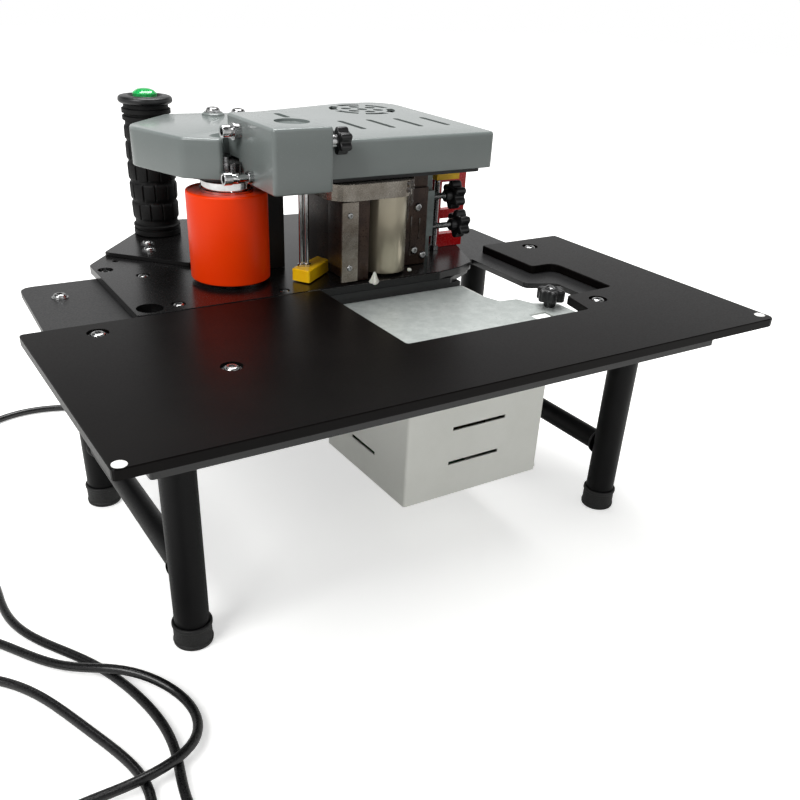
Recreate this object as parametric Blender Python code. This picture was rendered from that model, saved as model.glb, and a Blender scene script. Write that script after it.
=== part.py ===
"""Bench-top edge banding machine: a table with an opening, the banding head on its base plate,
a control box under the table, four legs and a mains lead. Metres, +Z up, floor at z = 0.

Plan sizes are measured from the table's front edge (y = 0) and from its middle (x = 0). The
empty named machine carries every piece and puts the origin at the middle of the footprint."""

import math

import bmesh
import bpy
from mathutils import Matrix, Vector

GAP = 0.0003               # between faces that touch
RUN = 0.0003               # radial clearance of a turning piece

# Table and plates
TABLE_TOP = 0.202
TABLE_HALF = 0.260
TABLE_DEPTH = 0.262
BOARD = 0.0065             # board and base plate thickness
PLATE = 0.0045             # steel plate under the board
SHEET = 0.0015             # tray sheet
SPACER = 0.0041            # bars between plate and tray
HANDLE_PLATE = 0.003
OVERALL_DEPTH = 0.447
OPENING_LEFT = -0.033
OPENING_FRONT = 0.080
BASE_FRONT = 0.208
SCREW_RECESS = 0.0076

# Legs
LEG_RADIUS = 0.0125
LEG_X = 0.199
LEG_FRONT = 0.090
LEG_BACK = 0.309
FLANGE_RADIUS = 0.0225
FLANGE = 0.003
CAP_RADIUS = 0.0145
CAP_HEIGHT = 0.0185
CAP_BASE = 0.003
BAR_RADIUS = 0.009
BAR_HEIGHT = 0.060

# Control box
BOX_LEFT = -0.0215
BOX_RIGHT = 0.1125
BOX_FRONT = 0.090
BOX_BACK = 0.2145
BOX_BOTTOM = 0.0595
BOX_WALL = 0.0012
SLOT = 0.003
FRONT_SLOTS = ((0.021, 0.0725, 0.1190), (0.019, 0.0683, 0.0890))     # left, right, height
SIDE_SLOT = (0.136, 0.173, 0.0845)
TRAY_KNOB = (0.144, 0.133)
SWITCH_Y = 0.188
SWITCH_Z = 0.150
SWITCH_HALF = 0.0065
SWITCH_TALL = 0.0095
DIAL_Y = 0.125
DIAL_RADIUS = 0.011
SPINDLE_RADIUS = 0.003
GLAND_X = 0.020
GLAND_Z = 0.085
GLAND_NECK = 0.006
GLAND_BORE = 0.0036
GLAND_LENGTH = 0.030

# Handle
HANDLE = (-0.0955, 0.405)
GRIP_RADIUS = 0.020
GRIP_WALL = 0.0045
GRIP_HEIGHT = 0.108
BEZEL_RADIUS = 0.022
BEZEL = 0.004
BUTTON_RADIUS = 0.0105
BUTTON_TRAVEL = 0.003

# Press roller and glue roller
PRESS = (-0.0851, 0.2612)
PRESS_RADIUS = 0.0312
PRESS_HUB = 0.020
PRESS_SHAFT = 0.005
PRESS_LOW = 0.003
PRESS_TOP = 0.0695
GLUE = (0.0398, 0.2318)
GLUE_RADIUS = 0.0183
GLUE_SHAFT = 0.005
GLUE_LOW = 0.002
GLUE_TOP = 0.064

# Gear train
MODULE = 0.002
GEAR_WIDTH = 0.008
GEAR_LOW = 0.0835          # gears' underside above the table
MOTOR = (0.084, 0.347)
MOTOR_RADIUS = 0.029
MOTOR_SHAFT = 0.003
PINION_TEETH = 13
MAIN_TEETH = 47
GLUE_TEETH = 18
TRANSFER_TEETH = 30
ROLLER_IDLER_TEETH = 37
ROLLER_TEETH = 21
ROLLER_IDLER_TURN = math.radians(74)
STUD_RADIUS = 0.004
BACKLASH = 0.16            # share of a tooth's width given up
FAN_RADIUS = 0.028

# Head: plate heights above the table
BRIDGE_LOW = 0.078
BRIDGE = 0.0032
COVER_LOW = 0.082
COVER_TOP = 0.1095
COVER_WALL = 0.002
LOBE_LOW = 0.0815
HOUSING_LOW = 0.078
HOUSING_TOP = 0.1225
HOUSING_LEFT = -0.079
HOUSING_RIGHT = -0.0315
HOUSING_FRONT = 0.188
HOUSING_BACK = 0.269
HOUSING_WALL = 0.003
MAIN_LEFT = -0.031
MAIN_FRONT = 0.209
SEAM = 0.0005              # joint between two covers
GRILLE = (0.084, 0.347)
GRILLE_RADIUS = 0.031
VENT_XS = (0.0295, 0.057, 0.084, 0.111)
VENT_FRONT = 0.249
VENT_BACK = 0.292
VENT_WIDTH = 0.0022
HOUSING_KNOB = (0.199, 0.111)          # depth, height above the table
UPPER_SCREW = (0.2455, 0.113)
LOWER_SCREW = (0.2260, 0.0845)

# Adjusters and cutter
UPPER_STUD = 0.0534
LOWER_STUD = 0.028
STUD_Y = 0.245
STUD_HOLE = 0.0025
CUTTER_PIVOT = (-0.0336, 0.2386)
CUTTER_ROD = (-0.0294, 0.2370)

# Glue pot
POT_LEFT = -0.0035
POT_RIGHT = 0.085
POT_FRONT = 0.2135
POT_STEP = 0.234
POT_BACK = 0.300
POT_WALL = 0.009
POT_BED = 0.008
POT_LOW = 0.0004
POT_TOP = 0.0645
LID_LOW = 0.0648
LID_TOP = 0.0775

# Cord
CORD_RADIUS = 0.00325
COIL_MIDDLE = 0.036
COIL_HALF_WIDTH = 0.0068
COIL_HEIGHT = 0.0138
PLUG_HALF = (0.019, 0.015)
PLUG_HEIGHT = 0.020
PLUG_RELIEF = 0.0046
PLUG_REACH = 0.036         # from the plug's middle to the relief's end and to the pins' tips
PLUG_FROM_COIL = (-0.0248, -0.0261)
PIN_RADIUS = 0.0024
PIN_SPREAD = 0.0095
LIE = CORD_RADIUS + 0.0001
HUMP = 3 * CORD_RADIUS + 0.0008
RISE = 0.0064
CORD_ROUTE = (
    # out of the gland, down to the floor behind the machine and round to its left
    (GLAND_X, BOX_BACK + 0.005, GLAND_Z), (GLAND_X, BOX_BACK + 0.022, GLAND_Z),
    (GLAND_X, BOX_BACK + 0.040, GLAND_Z), (0.013, 0.288, 0.070), (-0.008, 0.330, 0.028),
    (-0.048, 0.385, LIE), (-0.105, 0.448, LIE), (-0.165, 0.500, LIE), (-0.225, 0.518, LIE),
    (-0.283, 0.488, LIE), (-0.322, 0.415, LIE), (-0.352, 0.330, LIE), (-0.385, 0.250, LIE),
    (-0.391, 0.190, LIE), (-0.370, 0.143, LIE), (-0.346, 0.126, LIE),
    # first strand forwards, and a loop to the left
    (-0.326, 0.111, LIE), (-0.308, 0.085, LIE), (-0.293, 0.047, LIE), (-0.282, 0.019, LIE),
    (-0.272, -0.006, LIE), (-0.268, -0.024, LIE), (-0.271, -0.042, LIE), (-0.282, -0.064, LIE),
    (-0.305, -0.080, LIE), (-0.333, -0.076, LIE), (-0.350, -0.052, LIE), (-0.342, -0.025, LIE),
    (-0.317, -0.015, LIE),
    # second strand, over the two others and back, and a loop to the left
    (-0.291, -0.023, RISE), (-0.275, -0.027, HUMP), (-0.262, -0.026, HUMP),
    (-0.249, -0.022, HUMP), (-0.235, -0.013, RISE), (-0.225, 0.001, LIE), (-0.222, 0.017, LIE),
    (-0.226, 0.038, LIE), (-0.239, 0.057, RISE), (-0.256, 0.071, HUMP), (-0.272, 0.084, RISE),
    (-0.288, 0.100, LIE), (-0.307, 0.127, LIE), (-0.320, 0.151, LIE), (-0.340, 0.173, LIE),
    (-0.362, 0.197, LIE), (-0.371, 0.225, LIE), (-0.361, 0.251, LIE), (-0.337, 0.259, LIE),
    (-0.320, 0.241, LIE), (-0.315, 0.210, LIE), (-0.314, 0.184, LIE),
    # third strand forwards, and on to the coil
    (-0.307, 0.158, LIE), (-0.290, 0.128, LIE), (-0.273, 0.104, LIE), (-0.260, 0.077, LIE),
    (-0.251, 0.046, LIE), (-0.245, 0.013, LIE), (-0.247, -0.013, LIE), (-0.253, -0.030, LIE),
    (-0.258, -0.044, LIE), (-0.257, -0.064, LIE), (-0.251, -0.085, LIE), (-0.2435, -0.104, LIE),
    (-0.2400, -0.1197, LIE),
)
COIL = (-0.2815, -0.139)

FLAT = (0.0, 0.0, 0.0)
ALONG_X = (0.0, math.pi / 2, 0.0)
ALONG_Y = (-math.pi / 2, 0.0, 0.0)
AGAINST_X = (0.0, -math.pi / 2, 0.0)


def clear_scene():
    for old in list(bpy.data.objects):
        bpy.data.objects.remove(old)


def finish(name, colour, roughness, metallic):
    material = bpy.data.materials.new(name)
    material.use_nodes = True
    shader = material.node_tree.nodes["Principled BSDF"]
    shader.inputs["Base Color"].default_value = (*colour, 1.0)
    shader.inputs["Roughness"].default_value = roughness
    shader.inputs["Metallic"].default_value = metallic
    material.diffuse_color = (*colour, 1.0)
    return material


# Mesh builders. Each returns a bmesh that is one closed body.

def arc(centre, radius, start, end, steps):
    turns = [start + (end - start) * i / steps for i in range(steps + 1)]
    return [(centre[0] + radius * math.cos(t), centre[1] + radius * math.sin(t)) for t in turns]


def circle(centre, radius, steps=20):
    return arc(centre, radius, 0.0, math.tau, steps)[:-1]


def rounded(corners, steps=3):
    """Outline through (x, y, radius) corners, with each corner replaced by an arc."""
    outline = []
    for i, (x, y, radius) in enumerate(corners):
        here = Vector((x, y))
        before = Vector(corners[i - 1][:2])
        after = Vector(corners[(i + 1) % len(corners)][:2])
        if radius <= 0:
            outline.append((x, y))
            continue
        into = (before - here).normalized()
        out = (after - here).normalized()
        half = into.angle(out) / 2
        reach = radius / math.tan(half)
        middle = here + (into + out).normalized() * (radius / math.sin(half))
        first = here + into * reach - middle
        turn = first.angle_signed(here + out * reach - middle)
        start = math.atan2(first.y, first.x)
        outline += arc(middle, radius, start, start - turn, steps)
    return outline


def box_corners(left, front, right, back, radius=0.0):
    return [(left, front, radius), (right, front, radius),
            (right, back, radius), (left, back, radius)]


def box_outline(left, front, right, back, radius=0.0):
    return rounded(box_corners(left, front, right, back, radius))


def inset(outline, distance):
    """The outline moved inwards by the distance; the outline runs anticlockwise."""
    moved = []
    for i, point in enumerate(outline):
        here = Vector(point)
        before = (here - Vector(outline[i - 1])).normalized()
        after = (Vector(outline[(i + 1) % len(outline)]) - here).normalized()
        normal_a = Vector((-before.y, before.x))
        normal_b = Vector((-after.y, after.x))
        middle = (normal_a + normal_b).normalized()
        moved.append(tuple(here + middle * (distance / middle.dot(normal_a))))
    return moved


def anticlockwise(outline):
    area = sum(a[0] * b[1] - b[0] * a[1] for a, b in zip(outline, outline[1:] + outline[:1]))
    return outline if area > 0 else outline[::-1]


def ring_of(mesh, outline, height):
    return [mesh.verts.new((x, y, height)) for x, y in outline]


def join_rings(mesh, lower, upper):
    for i, vert in enumerate(lower):
        following = (i + 1) % len(lower)
        mesh.faces.new((vert, lower[following], upper[following], upper[i]))


def prism(outline, low, high, bevel=0.0):
    """Upright block over an outline, with its top edge bevelled if asked."""
    mesh = bmesh.new()
    outline = anticlockwise(outline)
    bottom = ring_of(mesh, outline, low)
    rings = [bottom, ring_of(mesh, outline, high - bevel)]
    if bevel > 0:
        rings.append(ring_of(mesh, inset(outline, bevel), high))
    mesh.faces.new(bottom[::-1])
    for lower, upper in zip(rings, rings[1:]):
        join_rings(mesh, lower, upper)
    mesh.faces.new(rings[-1])
    return mesh


def inner_corners(corners, wall):
    """Rounded corners moved inwards by a wall, with the radius that keeps its thickness."""
    moved = inset([corner[:2] for corner in corners], wall)
    result = []
    for i, (x, y, radius) in enumerate(corners):
        before = Vector((x, y)) - Vector(corners[i - 1][:2])
        after = Vector(corners[(i + 1) % len(corners)][:2]) - Vector((x, y))
        hollow = before.cross(after) < 0
        result.append((*moved[i], max(radius + (wall if hollow else -wall), 0.0003)))
    return result


def cup(corners, wall, floor, low, high, open_up=True):
    """Block with a hollow that opens upwards, or downwards for a cover."""
    mesh = bmesh.new()
    corners = anticlockwise(corners)
    outer = rounded(corners)
    inner = rounded(inner_corners(corners, wall))
    rim, back = (high, low) if open_up else (low, high)
    bed = low + floor if open_up else high - floor
    rings = [ring_of(mesh, outer, back), ring_of(mesh, outer, rim),
             ring_of(mesh, inner, rim), ring_of(mesh, inner, bed)]
    mesh.faces.new(rings[0])
    for lower, upper in zip(rings, rings[1:]):
        join_rings(mesh, lower, upper)
    mesh.faces.new(rings[-1])
    bmesh.ops.recalc_face_normals(mesh, faces=mesh.faces)
    return mesh


def turned(profile, steps=20):
    """Solid turned about Z from a closed profile of (radius, height) points."""
    mesh = bmesh.new()
    rings = []
    for radius, height in profile:
        if radius < 1e-6:
            rings.append([mesh.verts.new((0, 0, height))])
        else:
            rings.append(ring_of(mesh, circle((0, 0), radius, steps), height))
    for lower, upper in zip(rings, rings[1:] + rings[:1]):
        for i in range(steps):
            corners = [lower[i % len(lower)], lower[(i + 1) % len(lower)],
                       upper[(i + 1) % len(upper)], upper[i % len(upper)]]
            corners = [c for j, c in enumerate(corners) if c is not corners[j - 1]]
            if len(corners) > 2:
                mesh.faces.new(corners)
    bmesh.ops.recalc_face_normals(mesh, faces=mesh.faces)
    return mesh


def rod(radius, low, high, steps=16):
    return turned([(0, low), (radius, low), (radius, high), (0, high)], steps)


def tube(inner, outer, low, high, steps=20):
    return turned([(inner, low), (outer, low), (outer, high), (inner, high)], steps)


def star(radius, dip, lobes):
    """Outline of a hand knob with rounded lobes."""
    steps = lobes * 4
    return [((radius - dip * (0.5 - 0.5 * math.cos(lobes * t))) * math.cos(t),
             (radius - dip * (0.5 - 0.5 * math.cos(lobes * t))) * math.sin(t))
            for t in (math.tau * i / steps for i in range(steps))]


def gear_outline(teeth, turn=0.0):
    """Involute teeth of 20 degrees, thinned by the backlash; tooth 0 points along turn."""
    pitch = MODULE * teeth / 2
    base = pitch * math.cos(math.radians(20))
    tip = pitch + 0.9 * MODULE
    root = pitch - 1.2 * MODULE
    spread = math.tan(math.radians(20)) - math.radians(20)
    half_pitch_tooth = math.pi / (2 * teeth) * (1 - BACKLASH)

    def half_angle(radius):
        angle = math.acos(min(1.0, base / radius))
        return half_pitch_tooth + spread - (math.tan(angle) - angle)

    flank = [root, tip]
    outline = []
    for i in range(teeth):
        middle = turn + math.tau * i / teeth
        left = [(r, middle - half_angle(max(r, base))) for r in flank]
        right = [(r, middle + half_angle(max(r, base))) for r in reversed(flank)]
        outline += [(r * math.cos(t), r * math.sin(t)) for r, t in left + right]
    return outline


# Objects

def carried(name, mesh, material, place=(0.0, 0.0, 0.0), turn=FLAT):
    """A named object made from a bmesh and parented to the machine's empty."""
    data = bpy.data.meshes.new(name)
    mesh.to_mesh(data)
    mesh.free()
    data.materials.append(material)
    data.shade_smooth()
    data.set_sharp_from_angle(angle=math.radians(35))
    piece = bpy.data.objects.new(name, data)
    bpy.context.scene.collection.objects.link(piece)
    piece.parent = bpy.data.objects["machine"]
    piece.location = place
    piece.rotation_euler = turn
    return piece


def boolean(piece, mesh, operation, place=(0.0, 0.0, 0.0), turn=FLAT):
    """Cuts a helper shape from the piece, or adds it, with an EXACT Boolean."""
    helper = carried(f"{piece.name}_{operation.lower()}_{len(piece.modifiers)}", mesh,
                     piece.data.materials[0], place, turn)
    helper.hide_render = True
    helper.display_type = "WIRE"
    modifier = piece.modifiers.new(helper.name, "BOOLEAN")
    modifier.object = helper
    modifier.operation = operation
    modifier.solver = "EXACT"


def cut(piece, mesh, place=(0.0, 0.0, 0.0), turn=FLAT):
    boolean(piece, mesh, "DIFFERENCE", place, turn)


def add(piece, mesh, place=(0.0, 0.0, 0.0), turn=FLAT):
    boolean(piece, mesh, "UNION", place, turn)


def block(left, front, low, right, back, high):
    return prism(box_outline(left, front, right, back), low, high)


# Heights that several pieces share
BOARD_LOW = TABLE_TOP - BOARD
PLATE_TOP = BOARD_LOW - GAP
PLATE_LOW = PLATE_TOP - PLATE
TRAY_TOP = PLATE_LOW - SPACER - 2 * GAP
TRAY_LOW = TRAY_TOP - SHEET
BRIDGE_TOP = BRIDGE_LOW + BRIDGE


def over(height):
    """A height given above the table top."""
    return TABLE_TOP + height


def pitch_radius(teeth):
    return MODULE * teeth / 2


def meeting_point(first, first_reach, second, second_reach, side):
    """Axis of a gear that meshes with two others, on one side of the line between them."""
    a = Vector(first)
    b = Vector(second)
    apart = (b - a).length
    along = (first_reach ** 2 - second_reach ** 2 + apart ** 2) / (2 * apart)
    across = math.sqrt(max(0.0, first_reach ** 2 - along ** 2))
    unit = (b - a) / apart
    return tuple(a + unit * along + Vector((-unit.y, unit.x)) * across * side)


def table():
    black = finish("black_laminate", (0.012, 0.012, 0.012), 0.45, 0.0)
    steel = finish("black_painted_steel", (0.015, 0.015, 0.016), 0.5, 0.3)
    right = 0.194
    arm = 0.1685
    step = TABLE_DEPTH - 0.001
    notch = [(-TABLE_HALF, 0, 0.003), (TABLE_HALF, 0, 0.006), (TABLE_HALF, TABLE_DEPTH, 0.003),
             (arm, step, 0.002), (arm, 0.1875, 0.004), (right, 0.1875, 0.008),
             (right, 0.1150, 0.003), (0.1420, 0.1125, 0.004), (0.1354, OPENING_FRONT, 0.002),
             (OPENING_LEFT, OPENING_FRONT, 0.002), (OPENING_LEFT, BASE_FRONT - 0.0015, 0),
             (-TABLE_HALF, BASE_FRONT - 0.0015, 0.003)]
    board = carried("table_board", prism(rounded(notch), BOARD_LOW, TABLE_TOP, 0.0006), black)
    for x, y in ((-0.2127, 0.188), (-0.1552, 0.0958), (0.2098, 0.240), (0.1602, 0.0951)):
        cut(board, rod(SCREW_RECESS, TABLE_TOP - 0.0028, TABLE_TOP + 0.002), (x, y, 0))

    edge = [(-0.241, 0.001, 0.002), (0.190, 0.001, 0.002), (0.212, 0.024, 0.002),
            (0.2135, 0.341, 0.006), (0.150, 0.341, 0.006), (0.150, 0.325, 0.002),
            (-0.2356, 0.325, 0.010), (-0.242, 0.200, 0.002)]
    plate = carried("lower_plate", prism(rounded(edge), PLATE_LOW, PLATE_TOP), steel)
    hole = [(-0.034, OPENING_FRONT, 0.002), (0.1715, OPENING_FRONT, 0.002), (0.1715, 0.157, 0.006),
            (0.1465, 0.168, 0.006), (0.1465, 0.250, 0.002), (0.126, 0.226, 0.004),
            (0.095, BASE_FRONT, 0.002), (-0.034, BASE_FRONT, 0.002)]
    cut(plate, prism(rounded(hole), PLATE_LOW - 0.002, PLATE_TOP + 0.002))


def base_plate():
    black = finish("black_anodised_aluminium", (0.02, 0.02, 0.021), 0.35, 0.6)
    edge = [(-0.1785, BASE_FRONT, 0.002), (0.083, BASE_FRONT, 0.002), (0.1076, 0.2127, 0.02),
            (0.127, 0.222, 0.012), (0.156, 0.295, 0.01), (0.150, 0.392, 0.02),
            (0.060, 0.434, 0.02), (-0.084, OVERALL_DEPTH, 0.006), (-0.109, 0.418, 0.004),
            (-0.160, 0.360, 0.006), (-0.176, 0.341, 0.006)]
    base = carried("machine_base_plate", prism(rounded(edge), BOARD_LOW, TABLE_TOP, 0.0005), black)
    for x, y, radius, depth in ((-0.168, 0.323, 0.0062, 0.0045), (-0.154, 0.343, 0.0025, 0.005),
                                (-0.1456, 0.2975, 0.0055, 0.0035), (-0.166, 0.2204, 0.010, 0.009),
                                (-0.144, 0.221, 0.0055, 0.0035),
                                (-0.0593, 0.2174, 0.0045, 0.0025)):
        cut(base, rod(radius, TABLE_TOP - depth, TABLE_TOP + 0.002), (x, y, 0))

    edge = [(-0.1575, 0.3615, 0.003), (-0.1036, 0.304, 0.004), (-0.060, 0.330, 0.004),
            (-0.052, 0.442, 0.006), (-0.084, OVERALL_DEPTH - 0.001, 0.006), (-0.109, 0.4185, 0.004)]
    low = TABLE_TOP + GAP
    carried("handle_plate", prism(rounded(edge), low, low + HANDLE_PLATE, 0.0004), black)


def leg_places():
    for side, x in (("left", -LEG_X), ("right", LEG_X)):
        for end, y in (("front", LEG_FRONT), ("back", LEG_BACK)):
            yield side, end, x, y


def legs():
    black = finish("black_powder_coat", (0.018, 0.018, 0.018), 0.5, 0.0)
    rubber = finish("black_rubber", (0.02, 0.02, 0.02), 0.75, 0.0)
    top = PLATE_LOW - GAP
    foot = CAP_BASE + GAP
    profile = [(0, foot), (LEG_RADIUS, foot), (LEG_RADIUS, top - FLANGE),
               (FLANGE_RADIUS, top - FLANGE), (FLANGE_RADIUS, top), (0, top)]
    bore = LEG_RADIUS + GAP
    cap = [(0, 0), (CAP_RADIUS - 0.001, 0), (CAP_RADIUS, 0.001), (CAP_RADIUS, CAP_HEIGHT - 0.001),
           (CAP_RADIUS - 0.0007, CAP_HEIGHT), (bore, CAP_HEIGHT), (bore, CAP_BASE), (0, CAP_BASE)]
    for side, end, x, y in leg_places():
        carried(f"leg_{end}_{side}", turned(profile), black, (x, y, 0))
        carried(f"foot_cap_{end}_{side}", turned(cap), rubber, (x, y, 0))
    for side, x in (("left", -LEG_X), ("right", LEG_X)):
        length = LEG_BACK - LEG_FRONT
        bar = carried(f"side_bar_{side}", rod(BAR_RADIUS, 0, length), black,
                      (x, LEG_FRONT, BAR_HEIGHT), ALONG_Y)
        for y in (LEG_FRONT, LEG_BACK):
            cut(bar, rod(LEG_RADIUS + GAP, 0.03, 0.09, 32), (x, y, 0))


def tray():
    zinc = finish("galvanised_steel", (0.42, 0.44, 0.43), 0.4, 0.8)
    black = finish("black_spacer", (0.015, 0.015, 0.015), 0.6, 0.0)
    edge = [(-0.050, 0.072, 0.001), (0.156, 0.072, 0.002), (0.156, 0.137, 0.003),
            (0.137, 0.1455, 0.002), (0.131, 0.160, 0.002), (0.114, 0.162, 0.002),
            (0.108, 0.180, 0.002), (0.108, 0.2195, 0.001), (-0.050, 0.2195, 0.001)]
    sheet = carried("tray", prism(rounded(edge), TRAY_LOW, TRAY_TOP), zinc)
    cut(sheet, block(0.1145, 0.108, TRAY_LOW - 0.002, 0.132, 0.124, TRAY_TOP + 0.002))
    cut(sheet, rod(0.0026, TRAY_LOW - 0.002, TRAY_TOP + 0.002), (*TRAY_KNOB, 0))

    low = TRAY_TOP + GAP
    bars = [(-0.050, 0.073, 0), (0.150, 0.073, 0), (0.150, 0.0785, 0), (-0.036, 0.0785, 0),
            (-0.036, 0.2095, 0), (0.107, 0.2095, 0), (0.107, 0.219, 0), (-0.050, 0.219, 0)]
    carried("spacer_frame", prism(rounded(bars), low, low + SPACER), black)


def control_box():
    grey = finish("grey_powder_coat", (0.45, 0.44, 0.40), 0.45, 0.0)
    green = finish("circuit_board_green", (0.02, 0.12, 0.05), 0.5, 0.0)
    copper = finish("transformer_steel", (0.25, 0.22, 0.18), 0.5, 0.5)
    edge = box_corners(BOX_LEFT, BOX_FRONT, BOX_RIGHT, BOX_BACK, 0.002)
    box = carried("control_box", cup(edge, BOX_WALL, BOX_WALL, BOX_BOTTOM, TRAY_LOW - GAP), grey)
    for left, right, height in FRONT_SLOTS:
        cut(box, block(left, BOX_FRONT - 0.005, height - SLOT / 2,
                       right, BOX_FRONT + 0.005, height + SLOT / 2))
    front, back, height = SIDE_SLOT
    cut(box, block(BOX_LEFT - 0.005, front, height, BOX_LEFT + 0.005, back, height + SLOT))
    cut(box, block(BOX_RIGHT - 0.005, SWITCH_Y - SWITCH_HALF, SWITCH_Z - SWITCH_TALL,
                   BOX_RIGHT + 0.005, SWITCH_Y + SWITCH_HALF, SWITCH_Z + SWITCH_TALL))
    cut(box, rod(GLAND_NECK + GAP, -0.005, 0.005), (GLAND_X, BOX_BACK, GLAND_Z), ALONG_Y)
    cut(box, rod(SPINDLE_RADIUS + RUN, -0.005, 0.005), (BOX_RIGHT, DIAL_Y, SWITCH_Z), ALONG_X)

    bed = BOX_BOTTOM + BOX_WALL + GAP
    left, front = BOX_LEFT + 0.010, BOX_FRONT + 0.008
    board = carried("circuit_board", block(left, front, bed + 0.006, left + 0.070, front + 0.105,
                                           bed + 0.0076), green)
    for x in (left + 0.004, left + 0.066):
        for y in (front + 0.004, front + 0.101):
            add(board, rod(0.003, bed, bed + 0.0065, 12), (x, y, 0))
    add(board, block(left + 0.012, front + 0.020, bed + 0.007, left + 0.040, front + 0.050,
                     bed + 0.028))
    add(board, rod(0.009, bed + 0.007, bed + 0.034, 20), (left + 0.054, front + 0.030, 0))
    add(board, block(left + 0.010, front + 0.075, bed + 0.007, left + 0.060, front + 0.090,
                     bed + 0.019))
    left = BOX_RIGHT - 0.050
    core = carried("transformer", block(left, 0.150, bed, left + 0.040, 0.206, bed + 0.034), copper)
    add(core, prism(box_outline(left - 0.004, 0.158, left + 0.044, 0.198, 0.006),
                    bed + 0.007, bed + 0.027))


def controls():
    black = finish("black_abs", (0.02, 0.02, 0.02), 0.4, 0.0)
    red = finish("red_rocker", (0.4, 0.01, 0.01), 0.35, 0.0)
    clear = SWITCH_HALF - 0.0006
    tall = SWITCH_TALL - 0.0012
    rocker = prism([(-tall, -0.004), (tall, -0.004), (tall, 0.0035), (0, 0.0015), (-tall, 0.0015)],
                   -clear, clear)
    carried("rocker_switch", rocker, red, (BOX_RIGHT, SWITCH_Y, SWITCH_Z),
            (math.pi / 2, -math.pi / 2, 0))
    dial = turned([(0, -0.012), (SPINDLE_RADIUS, -0.012), (SPINDLE_RADIUS, GAP),
                   (DIAL_RADIUS, GAP), (DIAL_RADIUS, 0.004), (DIAL_RADIUS - 0.002, 0.015),
                   (0, 0.015)])
    carried("speed_knob", dial, black, (BOX_RIGHT, DIAL_Y, SWITCH_Z), ALONG_X)
    gland = turned([(GLAND_BORE, -0.004), (GLAND_NECK, -0.004), (GLAND_NECK, GAP),
                    (0.0095, GAP), (0.0095, 0.007), (0.0062, 0.009), (0.0046, GLAND_LENGTH),
                    (GLAND_BORE, GLAND_LENGTH)], 24)
    carried("cable_gland", gland, black, (GLAND_X, BOX_BACK, GLAND_Z), ALONG_Y)


def hand_knob(name, material, radius, thick, stud, stud_radius, place, turn, boss=0.005):
    """Star knob moulded on a threaded stud; the stud points down the axis from the knob."""
    knob = carried(name, prism(star(radius, radius * 0.22, 6), 0, thick, 0.0015), material,
                   place, turn)
    add(knob, rod(radius * 0.42, -boss, 0.004, 20), place, turn)
    add(knob, rod(stud_radius, -stud, 0.003, 20), place, turn)
    return knob


def handle():
    black = finish("black_handle_tube", (0.02, 0.02, 0.02), 0.5, 0.0)
    rubber = finish("black_grip_rubber", (0.02, 0.02, 0.02), 0.7, 0.0)
    green = finish("green_button", (0.01, 0.27, 0.07), 0.2, 0.0)
    low = TABLE_TOP + GAP + HANDLE_PLATE + GAP
    top = low + GRIP_HEIGHT
    core = GRIP_RADIUS - GRIP_WALL
    hollow = BUTTON_RADIUS + 0.001
    x, y = HANDLE
    carried("handle_core", turned([(0, low), (core, low), (core, top), (hollow, top),
                                   (hollow, top - 0.030), (0, top - 0.030)]), black, (x, y, 0))
    grip = [(core + GAP, low), (GRIP_RADIUS + 0.001, low), (GRIP_RADIUS + 0.001, low + 0.005),
            (GRIP_RADIUS - 0.001, low + 0.007), (GRIP_RADIUS, low + 0.010),
            (GRIP_RADIUS, top - 0.012), (GRIP_RADIUS - 0.001, top - 0.008),
            (GRIP_RADIUS + 0.0005, top - 0.004), (GRIP_RADIUS, top), (core + GAP, top)]
    carried("handle_grip", turned(grip), rubber, (x, y, 0))
    seat = top + GAP
    bore = BUTTON_RADIUS + RUN
    carried("button_bezel", turned([(bore, seat), (BEZEL_RADIUS, seat),
                                    (BEZEL_RADIUS, seat + BEZEL - 0.001),
                                    (BEZEL_RADIUS - 0.002, seat + BEZEL), (bore, seat + BEZEL)]),
            black, (x, y, 0))
    rim = BUTTON_TRAVEL + 0.001
    dome = [(0, -0.012), (BUTTON_RADIUS, -0.012), (BUTTON_RADIUS, rim),
            (BUTTON_RADIUS * 0.8, rim + 0.0018), (BUTTON_RADIUS * 0.45, rim + 0.003),
            (0, rim + 0.0035)]
    carried("start_button", turned(dome), green, (x, y, seat + BEZEL))


def press_roller():
    chrome = finish("turned_steel", (0.6, 0.6, 0.6), 0.2, 1.0)
    orange = finish("orange_silicone", (0.78, 0.045, 0.002), 0.45, 0.0)
    x, y = PRESS
    core = turned([(0, over(GAP)), (PRESS_SHAFT, over(GAP)), (PRESS_SHAFT, over(PRESS_LOW)),
                   (PRESS_HUB, over(PRESS_LOW)), (PRESS_HUB, over(HOUSING_LOW - 0.0035)),
                   (PRESS_SHAFT + 0.003, over(HOUSING_LOW - 0.0035)),
                   (PRESS_SHAFT + 0.003, over(BRIDGE_LOW - GAP)),
                   (PRESS_SHAFT, over(BRIDGE_LOW - GAP)),
                   (PRESS_SHAFT, over(GEAR_LOW + GEAR_WIDTH + 0.002)),
                   (0, over(GEAR_LOW + GEAR_WIDTH + 0.002))])
    carried("roller_core", core, chrome, (x, y, 0))
    inner = PRESS_HUB + GAP
    low, high, edge = over(PRESS_LOW), over(PRESS_TOP), 0.0012
    tyre = turned([(inner, low), (PRESS_RADIUS - edge, low), (PRESS_RADIUS, low + edge),
                   (PRESS_RADIUS, high - edge), (PRESS_RADIUS - edge, high), (inner, high)], 36)
    carried("roller_tyre", tyre, orange, (x, y, 0))


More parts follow.
